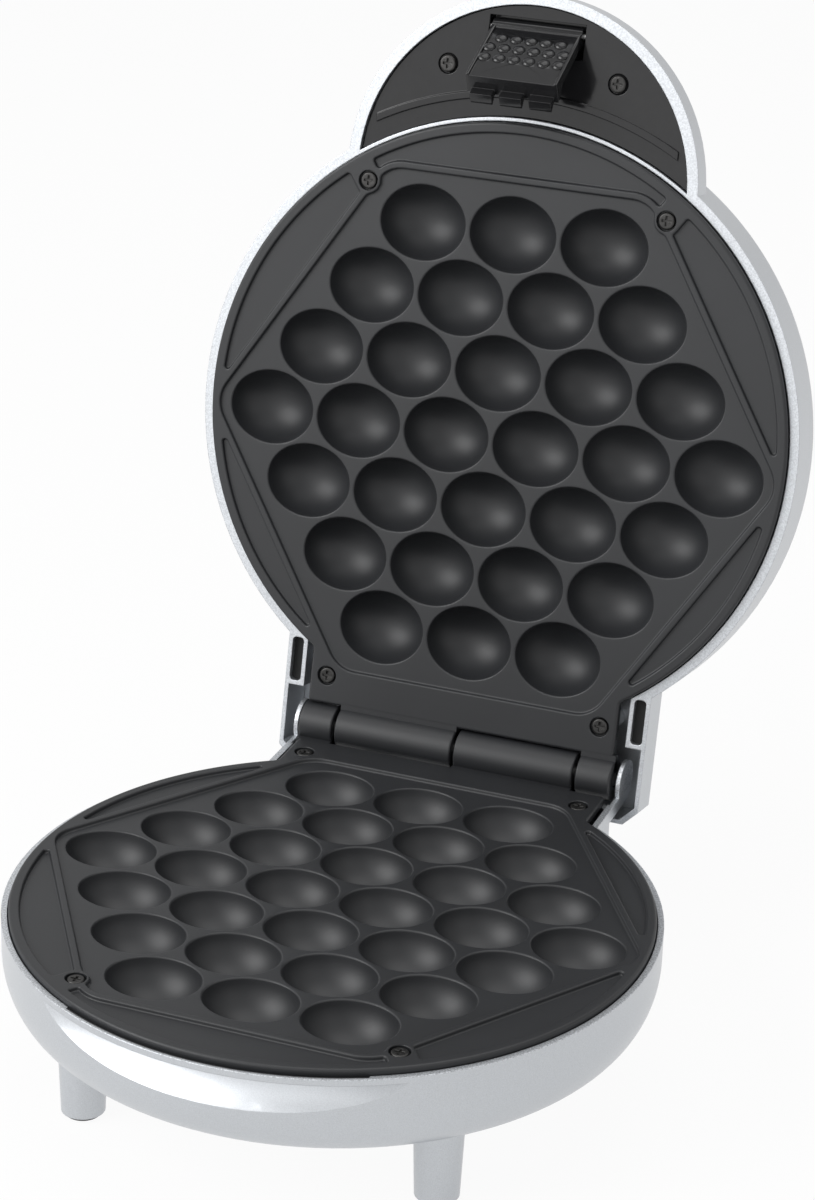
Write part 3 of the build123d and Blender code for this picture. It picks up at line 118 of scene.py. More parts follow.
SPRAY_HEIGHT, SPRAY_STRENGTH = 0.035, 0.6


class Value:
    """A shader socket that takes part in Python sums by adding Math nodes."""

    def __init__(self, finish, socket):
        self.finish = finish
        self.socket = socket

    def maths(self, operation, first, second):
        """The result of one Math node on two sockets or numbers."""
        node = self.finish.node("ShaderNodeMath", {"operation": operation}, {0: first, 1: second})
        return Value(self.finish, node.outputs[0])

    def __add__(self, other):
        return self.maths("ADD", self, other)

    def __radd__(self, other):
        return self.maths("ADD", other, self)

    def __sub__(self, other):
        return self.maths("SUBTRACT", self, other)

    def __rsub__(self, other):
        return self.maths("SUBTRACT", other, self)

    def __mul__(self, other):
        return self.maths("MULTIPLY", self, other)

    def __rmul__(self, other):
        return self.maths("MULTIPLY", other, self)


class Finish:
    """One material: a Principled shader, fed by noise on Object coordinates."""

    def __init__(self, name, **sockets):
        self.material = bpy.data.materials.new(name)
        self.material.use_nodes = True
        self.tree = self.material.node_tree
        self.shader = self.tree.nodes["Principled BSDF"]
        for socket, value in sockets.items():
            self.feed(socket.replace("_", " ").title(), value)

    def put(self, socket, value):
        """Links a socket, or sets it to a number or a colour."""
        if isinstance(value, Value):
            value = value.socket
        if isinstance(value, bpy.types.NodeSocket):
            self.tree.links.new(value, socket)
        elif isinstance(value, tuple) and len(value) == 3 and socket.type == "RGBA":
            socket.default_value = (*value, 1)
        else:
            socket.default_value = value

    def feed(self, socket, value):
        """Links or sets a socket of the shader."""
        self.put(self.shader.inputs[socket], value)

    def node(self, kind, settings, inputs):
        """New node with its settings set first, and then its inputs linked or set."""
        made = self.tree.nodes.new(kind)
        for name, value in settings.items():
            setattr(made, name, value)
        for name, value in inputs.items():
            self.put(made.inputs[name], value)
        return made

    def place(self):
        """Object coordinates, in metres."""
        return self.node("ShaderNodeTexCoord", {}, {}).outputs["Object"]

    def noise(self, size_mm, detail=2.0, roughness=0.5):
        """Noise from 0 to 1 with features of about this size."""
        inputs = {"Vector": self.place(), "Scale": 1 / (size_mm * MM), "Detail": detail}
        inputs["Roughness"] = roughness
        return Value(self, self.node("ShaderNodeTexNoise", {}, inputs).outputs["Fac"])

    def stretched(self, value, low, high):
        """A value's range from low to high stretched to 0 to 1, and held at its ends."""
        inputs = {"Value": value, "From Min": low, "From Max": high}
        return Value(self, self.node("ShaderNodeMapRange", {}, inputs).outputs[0])

    def shade(self, colour, amount):
        """The colour made lighter or darker by amount, a value about 1."""
        tint = self.node("ShaderNodeCombineColor", {}, {0: amount, 1: amount, 2: amount})
        settings = {"data_type": "RGBA", "blend_type": "MULTIPLY"}
        mixed = self.node("ShaderNodeMix", settings, {0: 1.0, 6: colour, 7: tint.outputs[0]})
        return mixed.outputs[2]

    def mix(self, amount, first, second):
        """Colour between first and second, all second where amount is 1."""
        mixed = self.node("ShaderNodeMix", {"data_type": "RGBA"}, {0: amount, 6: first, 7: second})
        return mixed.outputs[2]

    def bump(self, height, depth_mm, strength=1.0, edge_mm=0.0):
        """Normal from a height value, where 1 stands depth_mm high, with edges rounded by edge_mm."""
        inputs = {"Height": height, "Distance": depth_mm * MM, "Strength": strength}
        if edge_mm:
            soft = self.node("ShaderNodeBevel", {"samples": 6}, {"Radius": edge_mm * MM})
            inputs["Normal"] = soft.outputs[0]
        self.feed("Normal", self.node("ShaderNodeBump", {}, inputs).outputs[0])

    def tinted(self, colour, spread, patches):
        """Base colour that patches, a value from 0 to 1, make lighter and darker by spread in all."""
        self.feed("Base Color", self.shade(colour, 1 - spread / 2 + spread * patches))

    def roughened(self, smoothest, spread, size_mm):
        """Roughness that rises from smoothest by spread, in patches of this size."""
        self.feed("Roughness", smoothest + spread * self.noise(size_mm))


coating = Finish("nonstick_coating")
spray = coating.noise(SPRAY_SIZE, 3.0, 0.6)
patches = coating.noise(PATCH_SIZE, 3.0)
coating.tinted(COAT_COLOUR, COAT_SPREAD, patches)
coating.feed("Roughness", COAT_SMOOTHEST + SPRAY_ROUGHENS * spray + PATCH_ROUGHENS * patches)
coating.bump(spray, SPRAY_HEIGHT, SPRAY_STRENGTH)


def rounded(corners, closed=True, step=math.radians(12)):
    """Line through corners (x, y, radius). Each corner is an arc that touches both its sides."""
    points = np.array([corner[:2] for corner in corners], float)
    line = []
    for k, radius in enumerate(corner[2] for corner in corners):
        if radius == 0 or (not closed and k in (0, len(corners) - 1)):
            line.append(points[k])
            continue
        back = points[k - 1] - points[k]
        on = points[(k + 1) % len(points)] - points[k]
        back, on = back / np.hypot(*back), on / np.hypot(*on)
        half = math.acos(np.clip(back @ on, -1, 1)) / 2
        middle = (back + on) / np.hypot(*(back + on))
        centre = points[k] + middle * radius / math.sin(half)
        start = points[k] + back * radius / math.tan(half) - centre
        side = 1 if back[0] * on[1] - back[1] * on[0] < 0 else -1
        sweep = math.pi - 2 * half
        angles = side * np.linspace(0, sweep, max(2, math.ceil(sweep / step) + 1))
        turn = np.array(((np.cos(angles), -np.sin(angles)), (np.sin(angles), np.cos(angles))))
        line.extend(centre + np.einsum("ijk,j->ki", turn, start))
    return np.array(line)


def arc(centre, radius, start, end, step=1.5):
    """Points on a circle from angle start to angle end, both in degrees, counted anticlockwise."""
    angles = np.radians(np.linspace(start, end, max(3, math.ceil(abs(end - start) / step) + 1)))
    return np.stack((centre[0] + radius * np.cos(angles), centre[1] + radius * np.sin(angles)), -1)


def ring(centre, radius, count):
    """Closed circle of this many points."""
    return arc(centre, radius, 0, 360 - 360 / count, 360 / count)


def moved_out(loop, out):
    """Closed anticlockwise outline moved outwards by out, square to its sides, with mitred corners."""
    along = np.roll(loop, -1, 0) - loop
    along /= np.linalg.norm(along, axis=1, keepdims=True)
    after = np.stack((along[:, 1], -along[:, 0]), -1)
    before = np.roll(after, 1, 0)
    share = 1 + np.sum(before * after, axis=1, keepdims=True)
    return loop + out * (before + after) / share


def dense(loop, spacing):
    """Closed outline with points added so that none lies further than spacing from the next."""
    pieces = []
    for start, end in zip(loop, np.roll(loop, -1, 0)):
        count = max(1, math.ceil(np.hypot(*(end - start)) / spacing))
        pieces.append(start + np.linspace(0, 1, count, endpoint=False)[:, None] * (end - start))
    return np.concatenate(pieces)


class Skin:
    """One piece, in mm, as patches that meet point on point and are welded into closed shells."""

    def __init__(self):
        self.points = []
        self.faces = []
        self.count = 0

    def add(self, points, faces):
        """Takes in points and the faces between them, numbered from the first of these points."""
        self.points.append(np.asarray(points, float).reshape(-1, 3))
        self.faces.extend((np.asarray(faces) + self.count).tolist())
        self.count += len(self.points[-1])

    def patch(self, grid, wrap_rows=False):
        """Four-sided faces between the points of a grid (rows, columns, 3) with closed columns."""
        index = np.arange(grid.shape[0] * grid.shape[1]).reshape(grid.shape[:2])
        if wrap_rows:
            index = np.vstack((index, index[:1]))
        index = np.hstack((index, index[:, :1]))
        corners = (index[:-1, :-1], index[:-1, 1:], index[1:, 1:], index[1:, :-1])
        self.add(grid, np.stack(corners, -1).reshape(-1, 4))

    def carried(self, loop, profile):
        """A profile of (out, height) points carried round an outline."""
        rows = [np.c_[moved_out(loop, out), np.full(len(loop), z)] for out, z in profile]
        self.patch(np.array(rows))

    def fill(self, outer, holes, height):
        """Flat triangles at this height between an outline and the outlines of its holes."""
        loops = [outer, *holes]
        starts = np.cumsum([0] + [len(loop) for loop in loops])
        corners = [Vector(point) for loop in loops for point in loop]
        faces = [list(range(a, b)) for a, b in zip(starts, starts[1:])]
        made = delaunay_2d_cdt(corners, [], faces, 1, 1e-6)
        kept = [face for face, owners in zip(made[2], made[5]) if list(owners) == [0]]
        flat = np.array([point[:] for point in made[0]])
        self.add(np.c_[flat, np.full(len(flat), height)], kept)

    def plug(self, loop, low, high):
        """Closed block between two heights inside an outline."""
        self.carried(loop, [(0, low), (0, high)])
        self.fill(loop, [], low)
        self.fill(loop, [], high)


def disc_and_tab(radius, tab_half, tab_end, junction, corner):
    """Circle about the plate's middle with a straight tab to the rear, its junctions rounded."""
    centre_x = tab_half + junction
    centre_y = PLATE_CENTRE[1] + math.sqrt((radius + junction) ** 2 - centre_x**2)
    lean = math.degrees(math.atan2(centre_y - PLATE_CENTRE[1], centre_x))
    right = arc((centre_x, centre_y), junction, 180 + lean, 180, COARSE_DEGREES)
    left = arc((-centre_x, centre_y), junction, 0, -lean, COARSE_DEGREES)
    corners = [
        (tab_half, centre_y, 0),
        (tab_half, tab_end, corner),
        (-tab_half, tab_end, corner),
        (-tab_half, centre_y, 0),
    ]
    round_part = arc(PLATE_CENTRE, radius, 180 - lean, 360 + lean)
    return np.concatenate((right[:-1], rounded(corners, closed=False), left[1:-1], round_part[:-1]))


def beyond(side, point):
    """How far point lies outside a pocket's side, and the direction straight out of it there.

    A straight side is (normal x, normal y, distance). A round one is (x, y, radius, sign), with
    sign 1 where the pocket lies inside the circle and -1 where it lies outside.
    """
    if len(side) == 3:
        return np.dot(side[:2], point) - side[2], np.array(side[:2])
    away = point - np.array(side[:2])
    reach = np.hypot(*away)
    return side[3] * (reach - side[2]), side[3] * away / reach


def pocket(sides, corners):
    """Anticlockwise outline inside these sides. Corner k ends side k.

    A corner (x, y, radius) is rounded about the point that lies radius inside both its sides, found
    by Newton steps from (x, y). Where radius is 0 the sides touch at (x, y).
    """
    turns = []
    for k, (x, y, radius) in enumerate(corners):
        point = np.array((x, y), float)
        pair = (sides[k], sides[(k + 1) % len(sides)])
        for _ in range(NEWTON_STEPS if radius else 0):
            distances, normals = zip(*(beyond(side, point) for side in pair))
            point = point - np.linalg.solve(np.array(normals), np.array(distances) + radius)
        if radius:
            start, end = (math.degrees(math.atan2(normal[1], normal[0])) for normal in normals)
            turns.append(arc(point, radius, start, start + (end - start) % 360, COARSE_DEGREES))
        else:
            turns.append(point[None])
    outline = []
    for k, side in enumerate(sides):
        if len(side) == 4:
            ends = np.array((turns[k - 1][-1], turns[k][0])) - side[:2]
            start, end = np.degrees(np.arctan2(ends[:, 1], ends[:, 0]))
            sweep = (end - start) % 360 if side[3] > 0 else -((start - end) % 360)
            outline.append(arc(side[:2], side[2], start, start + sweep)[1:-1])
        outline.append(turns[k])
    return np.concatenate(outline)


def plate_pockets():
    """The front pocket and the four beside the hexagon's slanted sides.

    Straight sides lie a ridge's width outside the hexagon or clear of a front screw, and round ones
    follow the plate's rim, that screw or the hexagon's front bends.
    """
    right, top = np.array((FIELD_HALF, 0.0)), np.array((FIELD_TOP_HALF, FIELD_TOP))
    along = (top - right) / np.hypot(*(top - right))
    rear_slant = (-along[1], along[0], -(along[1] * right[0] + RIDGE))
    front_slant = (rear_slant[0], -rear_slant[1], rear_slant[2])
    ray = (FRONT_SCREW - PLATE_CENTRE) / np.hypot(*(FRONT_SCREW - PLATE_CENTRE))
    across = np.array((-ray[1], ray[0]))
    side_land = (*-across, -across @ FRONT_SCREW - SCREW_CLEAR)
    front_land = (*across, across @ FRONT_SCREW - SCREW_CLEAR)
    rim = (*PLATE_CENTRE, POCKET_EDGE, 1)
    touch = FRONT_SCREW + SCREW_CLEAR * across
    half_turn = math.acos(-along[0]) / 2
    bend_x, bend_y = top[0] - FIELD_ROUND * math.tan(half_turn), FIELD_ROUND - top[1]
    bend_round = FIELD_ROUND + RIDGE
    front_y = -top[1] - RIDGE
    rear = pocket([rim, rear_slant], [(60.0, 76.5, POCKET_ROUND), (99.5, 12.5, POCKET_ROUND)])
    side = pocket(
        [rim, front_slant, (*FRONT_SCREW, SCREW_CLEAR, -1), side_land],
        [
            (100.0, -11.0, POCKET_ROUND),
            (58.0, -79.8, POCKET_ROUND),
            (*touch, 0),
            (61.6, -85.0, POCKET_ROUND),
        ],
    )
    front = pocket(
        [
            rim,
            front_land,
            (bend_x, bend_y, bend_round, -1),
            (0.0, 1.0, front_y),
            (-bend_x, bend_y, bend_round, -1),
            (-front_land[0], front_land[1], front_land[2]),
        ],
        [
            (51.9, -91.0, POCKET_ROUND),
            (50.0, -89.8, POCKET_ROUND),
            (bend_x, front_y, 0),
            (-bend_x, front_y, 0),
            (-50.0, -89.8, POCKET_ROUND),
            (-51.9, -91.0, POCKET_ROUND),
        ],
    )
    return [front, rear, side, rear[::-1] * MIRRORED, side[::-1] * MIRRORED]


def cell_rings(long, short, top, lip, rows, count):
    """Rings of an egg-shaped hollow: a quarter round of radius lip at height top, then the egg."""
    t = np.linspace(0, 2 * math.pi, count, endpoint=False)
    middle = CELL_SHORT - CELL_DEPTH
    start = math.acos((middle - top + lip) / short)
    rings = []
    if lip:
        wall = math.sin(start)
        across = np.stack((short * np.cos(t), long * np.sin(t)), -1)
        across /= np.linalg.norm(across, axis=1, keepdims=True)
        edge = np.stack((long * wall * np.cos(t), short * wall * np.sin(t)), -1)
        for angle in np.linspace(0, math.pi / 2, LIP_STEPS + 1)[:-1]:
            out = lip * (1 - math.sin(angle))
            rings.append(np.c_[edge + out * across, np.full(count, top - lip * (1 - math.cos(angle)))])
    for angle in np.linspace(start, 0, rows):
        scale = math.sin(angle)
        ring_points = np.stack((long * scale * np.cos(t), short * scale * np.sin(t)), -1)
        rings.append(np.c_[ring_points, np.full(count, middle - short * math.cos(angle))])
    return np.array(rings)


def profile(*corners):
    """Open line of (out, height) points through corners (out, height, radius), finely rounded."""
    return rounded(corners, closed=False, step=FINE_TURN)


def step_up(reach_in, reach_out, foot_round):
    """Profile of the soft step from the floor of the field or of a pocket up to the border."""
    foot, top = (STEP_FOOT, 0, foot_round), (STEP_TOP, PLATE_RISE, STEP_ROUND)
    return profile((-reach_in, 0, 0), foot, top, (reach_out, PLATE_RISE, 0))


def casting():
    """Skin of one plate, cooking side up, without its knuckles."""
    skin = Skin()
    outline = disc_and_tab(PLATE_RADIUS, TAB_HALF, TAB_END, TAB_JUNCTION_ROUND, TAB_CORNER_ROUND)
    upper = ((FIELD_HALF, 0.0), (FIELD_TOP_HALF, FIELD_TOP), (-FIELD_TOP_HALF, FIELD_TOP))
    corners = [(sign * x, sign * y, FIELD_ROUND) for sign in (1, -1) for x, y in upper]
    hexagon = dense(rounded(corners), FIELD_SPACING)
    for screw in PLATE_SCREWS:
        away = hexagon - screw
        distance = np.linalg.norm(away, axis=1, keepdims=True)
        bowed = (distance**SEAT_BOW + SEAT_RING**SEAT_BOW) ** (1 / SEAT_BOW)
        hexagon = screw + away / distance * bowed
    pockets = [dense(loop, POCKET_SPACING) for loop in plate_pockets()]
    centres = [
        np.array(((k - (count - 1) / 2) * CELL_PITCH, (row - len(ROW_COUNTS) // 2) * ROW_PITCH))
        for row, count in enumerate(ROW_COUNTS)
        for k in range(count)
    ]

    skin.carried(hexagon, step_up(FIELD_STEP_IN, FIELD_STEP_OUT, FIELD_FOOT_ROUND))
    for hollow in pockets:
        skin.carried(hollow, step_up(POCKET_STEP, POCKET_STEP, POCKET_FOOT_ROUND))
        skin.fill(moved_out(hollow, -POCKET_STEP), [], 0)
    seats = [ring(screw, SEAT_RADIUS, SEAT_SIDES) for screw in PLATE_SCREWS]
    seat_floor = PLATE_RISE - SEAT_DEPTH
    seat_corners = [(SEAT_EDGE, PLATE_RISE, 0), (0, PLATE_RISE, SEAT_EDGE), (0, seat_floor, 0)]
    for seat in seats:
        skin.carried(seat, rounded(seat_corners, closed=False))
        skin.fill(seat, [], seat_floor)
    rim_turn = (0, PLATE_RISE, PLATE_EDGE_ROUND)
    skin.carried(outline, profile((-PLATE_EDGE_REACH, PLATE_RISE, 0), rim_turn, (0, BORDER_UNDER, 0)))
    border_holes = [moved_out(hexagon, FIELD_STEP_OUT)]
    border_holes += [moved_out(hollow, POCKET_STEP) for hollow in pockets]
    border_holes += [moved_out(seat, SEAT_EDGE) for seat in seats]
    skin.fill(moved_out(outline, -PLATE_EDGE_REACH), border_holes, PLATE_RISE)

    hollow = cell_rings(CELL_LONG, CELL_SHORT, 0.0, CELL_LIP, CELL_ROWS, CELL_SIDES)
    wall_long, wall_short = CELL_LONG + CELL_WALL, CELL_SHORT + CELL_WALL
    bulge = cell_rings(wall_long, wall_short, FIELD_UNDER, 0.0, UNDER_ROWS, UNDER_SIDES)
    for centre in centres:
        skin.patch(hollow + (*centre, 0))
        skin.patch(bulge + (*centre, 0))
    skin.fill(moved_out(hexagon, -FIELD_STEP_IN), [hollow[0, :, :2] + centre for centre in centres], 0)
    under = moved_out(hexagon, -RIDGE / 2)
    skin.fill(under, [bulge[0, :, :2] + centre for centre in centres], FIELD_UNDER)
    skin.carried(under, [(0, FIELD_UNDER), (0, BORDER_UNDER)])
    skin.fill(outline, [under], BORDER_UNDER)
    return skin


# Hinge barrel
# Four knuckles cast in one with the plates, two on each, turn on a steel rod behind the plates. The
# lid's plate is the base's turned over, and is swung open about the rod.
BARREL_RADIUS, BARREL_SIDES = 7.5, 64
BARREL_HALF = 58.5
KNUCKLE_SPLIT, HALF_GAP = 45.3, 0.6
KNUCKLE_BORE, BORE_EDGE = 2.55, 0.2
KNUCKLE_EDGE = 0.7
WEB_INTO_TAB, WEB_SHORT_OF_HINGE, WEB_ROUND = 1.0, 3.0, 0.1
PARTING_Z = 1.65
OPEN = math.radians(hinge_joint["range_deg"][1])
WELD = 0.002 * MM
SHARP_ANGLE = math.radians(38)


def in_lid(points):
    """Closed place to the frame's metres, after a turn about the hinge line that opens the lid."""
    x, y, z = np.moveaxis(points - HINGE, -1, 0)
    turned = (x, y * math.cos(OPEN) + z * math.sin(OPEN), z * math.cos(OPEN) - y * math.sin(OPEN))
    return in_base(HINGE + np.stack(turned, axis=-1))


def turned_over(points):
    """The same shape facing down, half a turn about the Y line at the parting height."""
    return points * (-1, 1, -1) + (0, 0, 2 * PARTING_Z)


def show(name, skin, place, body, finish, replaced=()):
    """Makes the welded mesh of a skin, set in the frame by place, and rides it on its body."""
    mesh = bpy.data.meshes.new(name)
    mesh.from_pydata(place(np.concatenate(skin.points)).tolist(), [], skin.faces)
    shell = bmesh.new()
    shell.from_mesh(mesh)
    bmesh.ops.remove_doubles(shell, verts=shell.verts, dist=WELD)
    bmesh.ops.recalc_face_normals(shell, faces=shell.faces)
    shell.to_mesh(mesh)
    shell.free()
    mesh.shade_smooth()
    mesh.set_sharp_from_angle(angle=SHARP_ANGLE)
    mesh.materials.append(finish.material)
    made = bpy.data.objects.new(name, mesh)
    bpy.context.scene.collection.objects.link(made)
    made.modifiers.new("normals", "WEIGHTED_NORMAL").keep_sharp = True
    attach(made, body)
    if replaced:
        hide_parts(*replaced)


def knuckle(skin, left, right, web_low, web_high):
    """Ring about the hinge line from left to right, with rounded ends, and its web to the tab."""
    section = rounded(
        [
            (left, KNUCKLE_BORE, BORE_EDGE),
            (left, BARREL_RADIUS, KNUCKLE_EDGE),
            (right, BARREL_RADIUS, KNUCKLE_EDGE),
            (right, KNUCKLE_BORE, BORE_EDGE),
        ]
    )
    angles = np.linspace(0, 2 * math.pi, BARREL_SIDES, endpoint=False)
    x, radius = section.T[:, :, None]
    y = HINGE[1] + radius * np.cos(angles)
    z = HINGE[2] + radius * np.sin(angles)
    skin.patch(np.stack((x + 0 * angles, y, z), -1), wrap_rows=True)
    low_y, high_y = TAB_END - WEB_INTO_TAB, HINGE[1] - WEB_SHORT_OF_HINGE
    corners = ((left, low_y), (right, low_y), (right, high_y), (left, high_y))
    skin.plug(rounded([(*corner, WEB_ROUND) for corner in corners]), web_low, web_high)


lower_plate = casting()
knuckle(lower_plate, -BARREL_HALF, -KNUCKLE_SPLIT - HALF_GAP, BORDER_UNDER, PLATE_RISE)
knuckle(lower_plate, HALF_GAP, KNUCKLE_SPLIT - HALF_GAP, BORDER_UNDER, PLATE_RISE)
show("base_plate_casting", lower_plate, in_base, "base", coating, ["base_plate"])

upper_plate = casting()
upper_plate.points = [turned_over(points) for points in upper_plate.points]
WEB_HEIGHTS = (2 * PARTING_Z - PLATE_RISE, 2 * PARTING_Z - BORDER_UNDER)
knuckle(upper_plate, -KNUCKLE_SPLIT + HALF_GAP, -HALF_GAP, *WEB_HEIGHTS)
knuckle(upper_plate, KNUCKLE_SPLIT + HALF_GAP, BARREL_HALF, *WEB_HEIGHTS)
show("lid_plate_casting", upper_plate, in_lid, "lid", coating, ["lid_plate"])

# Housings
# Base and lid shells, moulded and sprayed with a fine silver paint whose flakes sparkle. They keep
# the frame's own solids, whose normals are exact, and their edges are softened by the shader.
BASE_RIM_Z, LID_RIM_Z = -0.7, 4.6
RIM_BAND, RIM_BLEND = 0.4, 0.1
PAINT_COLOUR = (0.55, 0.57, 0.595)
PAINT_SMOOTHEST, FLAKE_ROUGHENS, RIM_ROUGHENS = 0.28, 0.16, 0.10
BASE_GRAIN, LID_GRAIN = 0.45, 0.2
FLAKE_SIZE, FLAKE_SPREAD, FLAKE_HEIGHT, FLAKE_STRENGTH = 0.35, 0.32, 0.02, 0.35
SPECK_SIZE, SPECK_LOW, SPECK_HIGH = 0.6, 0.36, 0.64
PAINT_EDGE_ROUND = 0.45
BEVEL_SEGMENTS, BEVEL_ANGLE = 2, math.radians(40)


def silver_paint(name, rim_point, outward, grain):
    """Silver paint that is smooth on the walls and coarse and speckled on the flat rim.

    The rim is all that lies less than RIM_BAND below rim_point along the direction outward, and
    grain is how much its specks differ in brightness.
    """
    paint = Finish(name, metallic=0.85, coat_weight=0.25, coat_roughness=0.15)
    level = float(np.dot(rim_point, outward)) - RIM_BAND * MM
    settings = {"operation": "DOT_PRODUCT"}
    height = paint.node("ShaderNodeVectorMath", settings, {0: paint.place(), 1: tuple(outward)})
    rim = paint.stretched(height.outputs["Value"], level, level + RIM_BLEND * MM)
    flakes = paint.noise(FLAKE_SIZE, 1.0)
    speckle = paint.stretched(paint.noise(SPECK_SIZE, 1.0), SPECK_LOW, SPECK_HIGH) - 0.5
    tone = 1 - FLAKE_SPREAD / 2 + FLAKE_SPREAD * flakes + grain * (rim * speckle)
    paint.feed("Base Color", paint.shade(PAINT_COLOUR, tone))
    paint.feed("Roughness", PAINT_SMOOTHEST + FLAKE_ROUGHENS * flakes + RIM_ROUGHENS * rim)
    paint.bump(flakes, FLAKE_HEIGHT, FLAKE_STRENGTH, PAINT_EDGE_ROUND)
    return paint


def dress(node, finish, edge_mm=0.0):
    """Gives a solid of the frame its finish and, where edge_mm isn't 0, rounded edges."""
    solid = frame["nodes"][node]
    solid.data.materials.clear()
    solid.data.materials.append(finish.material)
    if edge_mm:
        solid.modifiers.new("weld", "WELD").merge_threshold = WELD
        bevel = solid.modifiers.new("edges", "BEVEL")
        bevel.width = edge_mm * MM
        bevel.segments = BEVEL_SEGMENTS
        bevel.use_clamp_overlap = False
        bevel.limit_method = "ANGLE"
        bevel.angle_limit = BEVEL_ANGLE
        solid.modifiers.new("normals", "WEIGHTED_NORMAL").keep_sharp = False


base_rim, lid_rim = in_base(np.array((0, 0, BASE_RIM_Z))), in_lid(np.array((0, 0, LID_RIM_Z)))
lid_down = in_lid(HINGE - (0, 0, 1)) - in_lid(HINGE)
lid_down /= np.linalg.norm(lid_down)
dress("base_housing", silver_paint("silver_paint_base", base_rim, np.array((0.0, 0.0, 1.0)), BASE_GRAIN))
dress("lid_housing", silver_paint("silver_paint_lid", lid_rim, lid_down, LID_GRAIN))

# Ear slots
# The two slots beside the hinge are open to the unlit inside of the lid. A matt black plug stands
# deep in each one as painted shade for that unlit depth.
SLOT_X, SLOT_Y = (62.2, 66.5), (81.5, 97.6)
SLOT_ROUND = 1.5
SLOT_DEPTH = 12.0
SLOT_GAP = 0.1
SLOT_SUNK = 2.5
# Matt black that paints the shade deep inside each slot.
dark = Finish("painted_slot_shade", roughness=0.8)
dark.tinted((0.006, 0.006, 0.006), 0.6, dark.noise(2.0))
dark.bump(dark.noise(0.4), 0.03)
plugs = Skin()
for side in (-1, 1):
    x_low, x_high = sorted(side * x for x in SLOT_X)
    corners = ((x_low, SLOT_Y[0]), (x_high, SLOT_Y[0]), (x_high, SLOT_Y[1]), (x_low, SLOT_Y[1]))
    mouth = moved_out(rounded([(*corner, SLOT_ROUND) for corner in corners]), -SLOT_GAP)
    plugs.plug(mouth, LID_RIM_Z + SLOT_SUNK, LID_RIM_Z + SLOT_DEPTH - SLOT_GAP)
show("ear_slot_shade_plugs", plugs, in_lid, "lid", dark)

# Black plastic
# Strip in the base's lip, liner of the grip and latch are moulded in glossy black, polished enough
# to mirror the studio, with a faint ripple from the mould.
MOULDED_EDGE, LATCH_EDGE = 0.3, 0.25
gloss = Finish("gloss_black", roughness=0.12)
gloss.tinted((0.012, 0.012, 0.013), 0.4, gloss.noise(3.0))
gloss.feed("Specular IOR Level", 0.4)
gloss.bump(gloss.noise(6.0), 0.02)
dress("front_strip", gloss, MOULDED_EDGE)
dress("handle_liner", gloss, MOULDED_EDGE)
dress("latch", gloss, LATCH_EDGE)

# Latch bumps
# Three rows of low round bumps on the latch's face for the finger, moulded with it. Each is half an
# egg shape, turned about a line square to the face.
LATCH_PIN = np.array((0.0, -141.6, 8.4))
LATCH_FROM_DOWN = math.radians(36.0)
FACE_OUT = 1.6
BUMP_RADIUS, BUMP_HEIGHT, BUMP_SUNK = 2.35, 1.15, 0.2
BUMP_PITCH, BUMP_ROW_PITCH, BUMP_START = 5.3, 5.4, 8.0
BUMP_COUNTS = (5, 6, 6)
BUMP_SIDES, BUMP_RINGS = 24, 9
along_latch = np.array((0.0, math.sin(LATCH_FROM_DOWN), -math.cos(LATCH_FROM_DOWN)))
out_of_face = np.array((0.0, -math.cos(LATCH_FROM_DOWN), -math.sin(LATCH_FROM_DOWN)))
across_latch = np.array((1.0, 0.0, 0.0))
around = np.linspace(0, 2 * math.pi, BUMP_SIDES, endpoint=False)[None, :, None]
rise = np.linspace(0, math.pi / 2, BUMP_RINGS)[:, None, None]
flat_way = np.cos(around) * across_latch + np.sin(around) * along_latch
height = FACE_OUT - BUMP_SUNK + (BUMP_HEIGHT + BUMP_SUNK) * np.sin(rise)
dome = BUMP_RADIUS * np.cos(rise) * flat_way + height * out_of_face
bumps = Skin()
for row, count in enumerate(BUMP_COUNTS):
    for k in range(count):
        middle = LATCH_PIN + (k - (count - 1) / 2) * BUMP_PITCH * across_latch
        bumps.patch(dome + middle + (BUMP_START + row * BUMP_ROW_PITCH) * along_latch)
show("latch_bumps", bumps, in_lid, "latch", gloss)

# Screws, rod and pin
# Screws are blackened zinc, dulled by handling. The rod and the latch's pin are bright drawn steel,
# faintly mottled.
SCREW_EDGE = 0.12
zinc = Finish("dark_zinc", metallic=0.9)
zinc.tinted((0.05, 0.049, 0.048), 0.8, zinc.noise(1.2))
zinc.roughened(0.30, 0.2, 0.6)
zinc.bump(zinc.noise(0.3), 0.01)
for name in frame["nodes"]:
    if name.endswith("screws"):
        dress(name, zinc, SCREW_EDGE)
steel = Finish("drawn_steel", metallic=1.0)
steel.tinted((0.45, 0.45, 0.45), 0.4, steel.noise(2.0))
steel.roughened(0.22, 0.2, 0.5)
steel.bump(steel.noise(0.25), 0.005)
for name in ("hinge_rod", "latch_pin"):
    dress(name, steel)

# Leg tips and cord bush
# Tips of black rubber with a matt, slightly speckled face, and the same soft black for the bush that
# the mains lead passes through at the back.
rubber = Finish("tip_rubber")
rubber.tinted((0.02, 0.02, 0.021), 0.6, rubber.noise(0.8))
rubber.roughened(0.5, 0.2, 0.5)
rubber.bump(rubber.noise(0.4), 0.02)
for name in ("leg_tips", "cord_gland"):
    dress(name, rubber, MOULDED_EDGE)

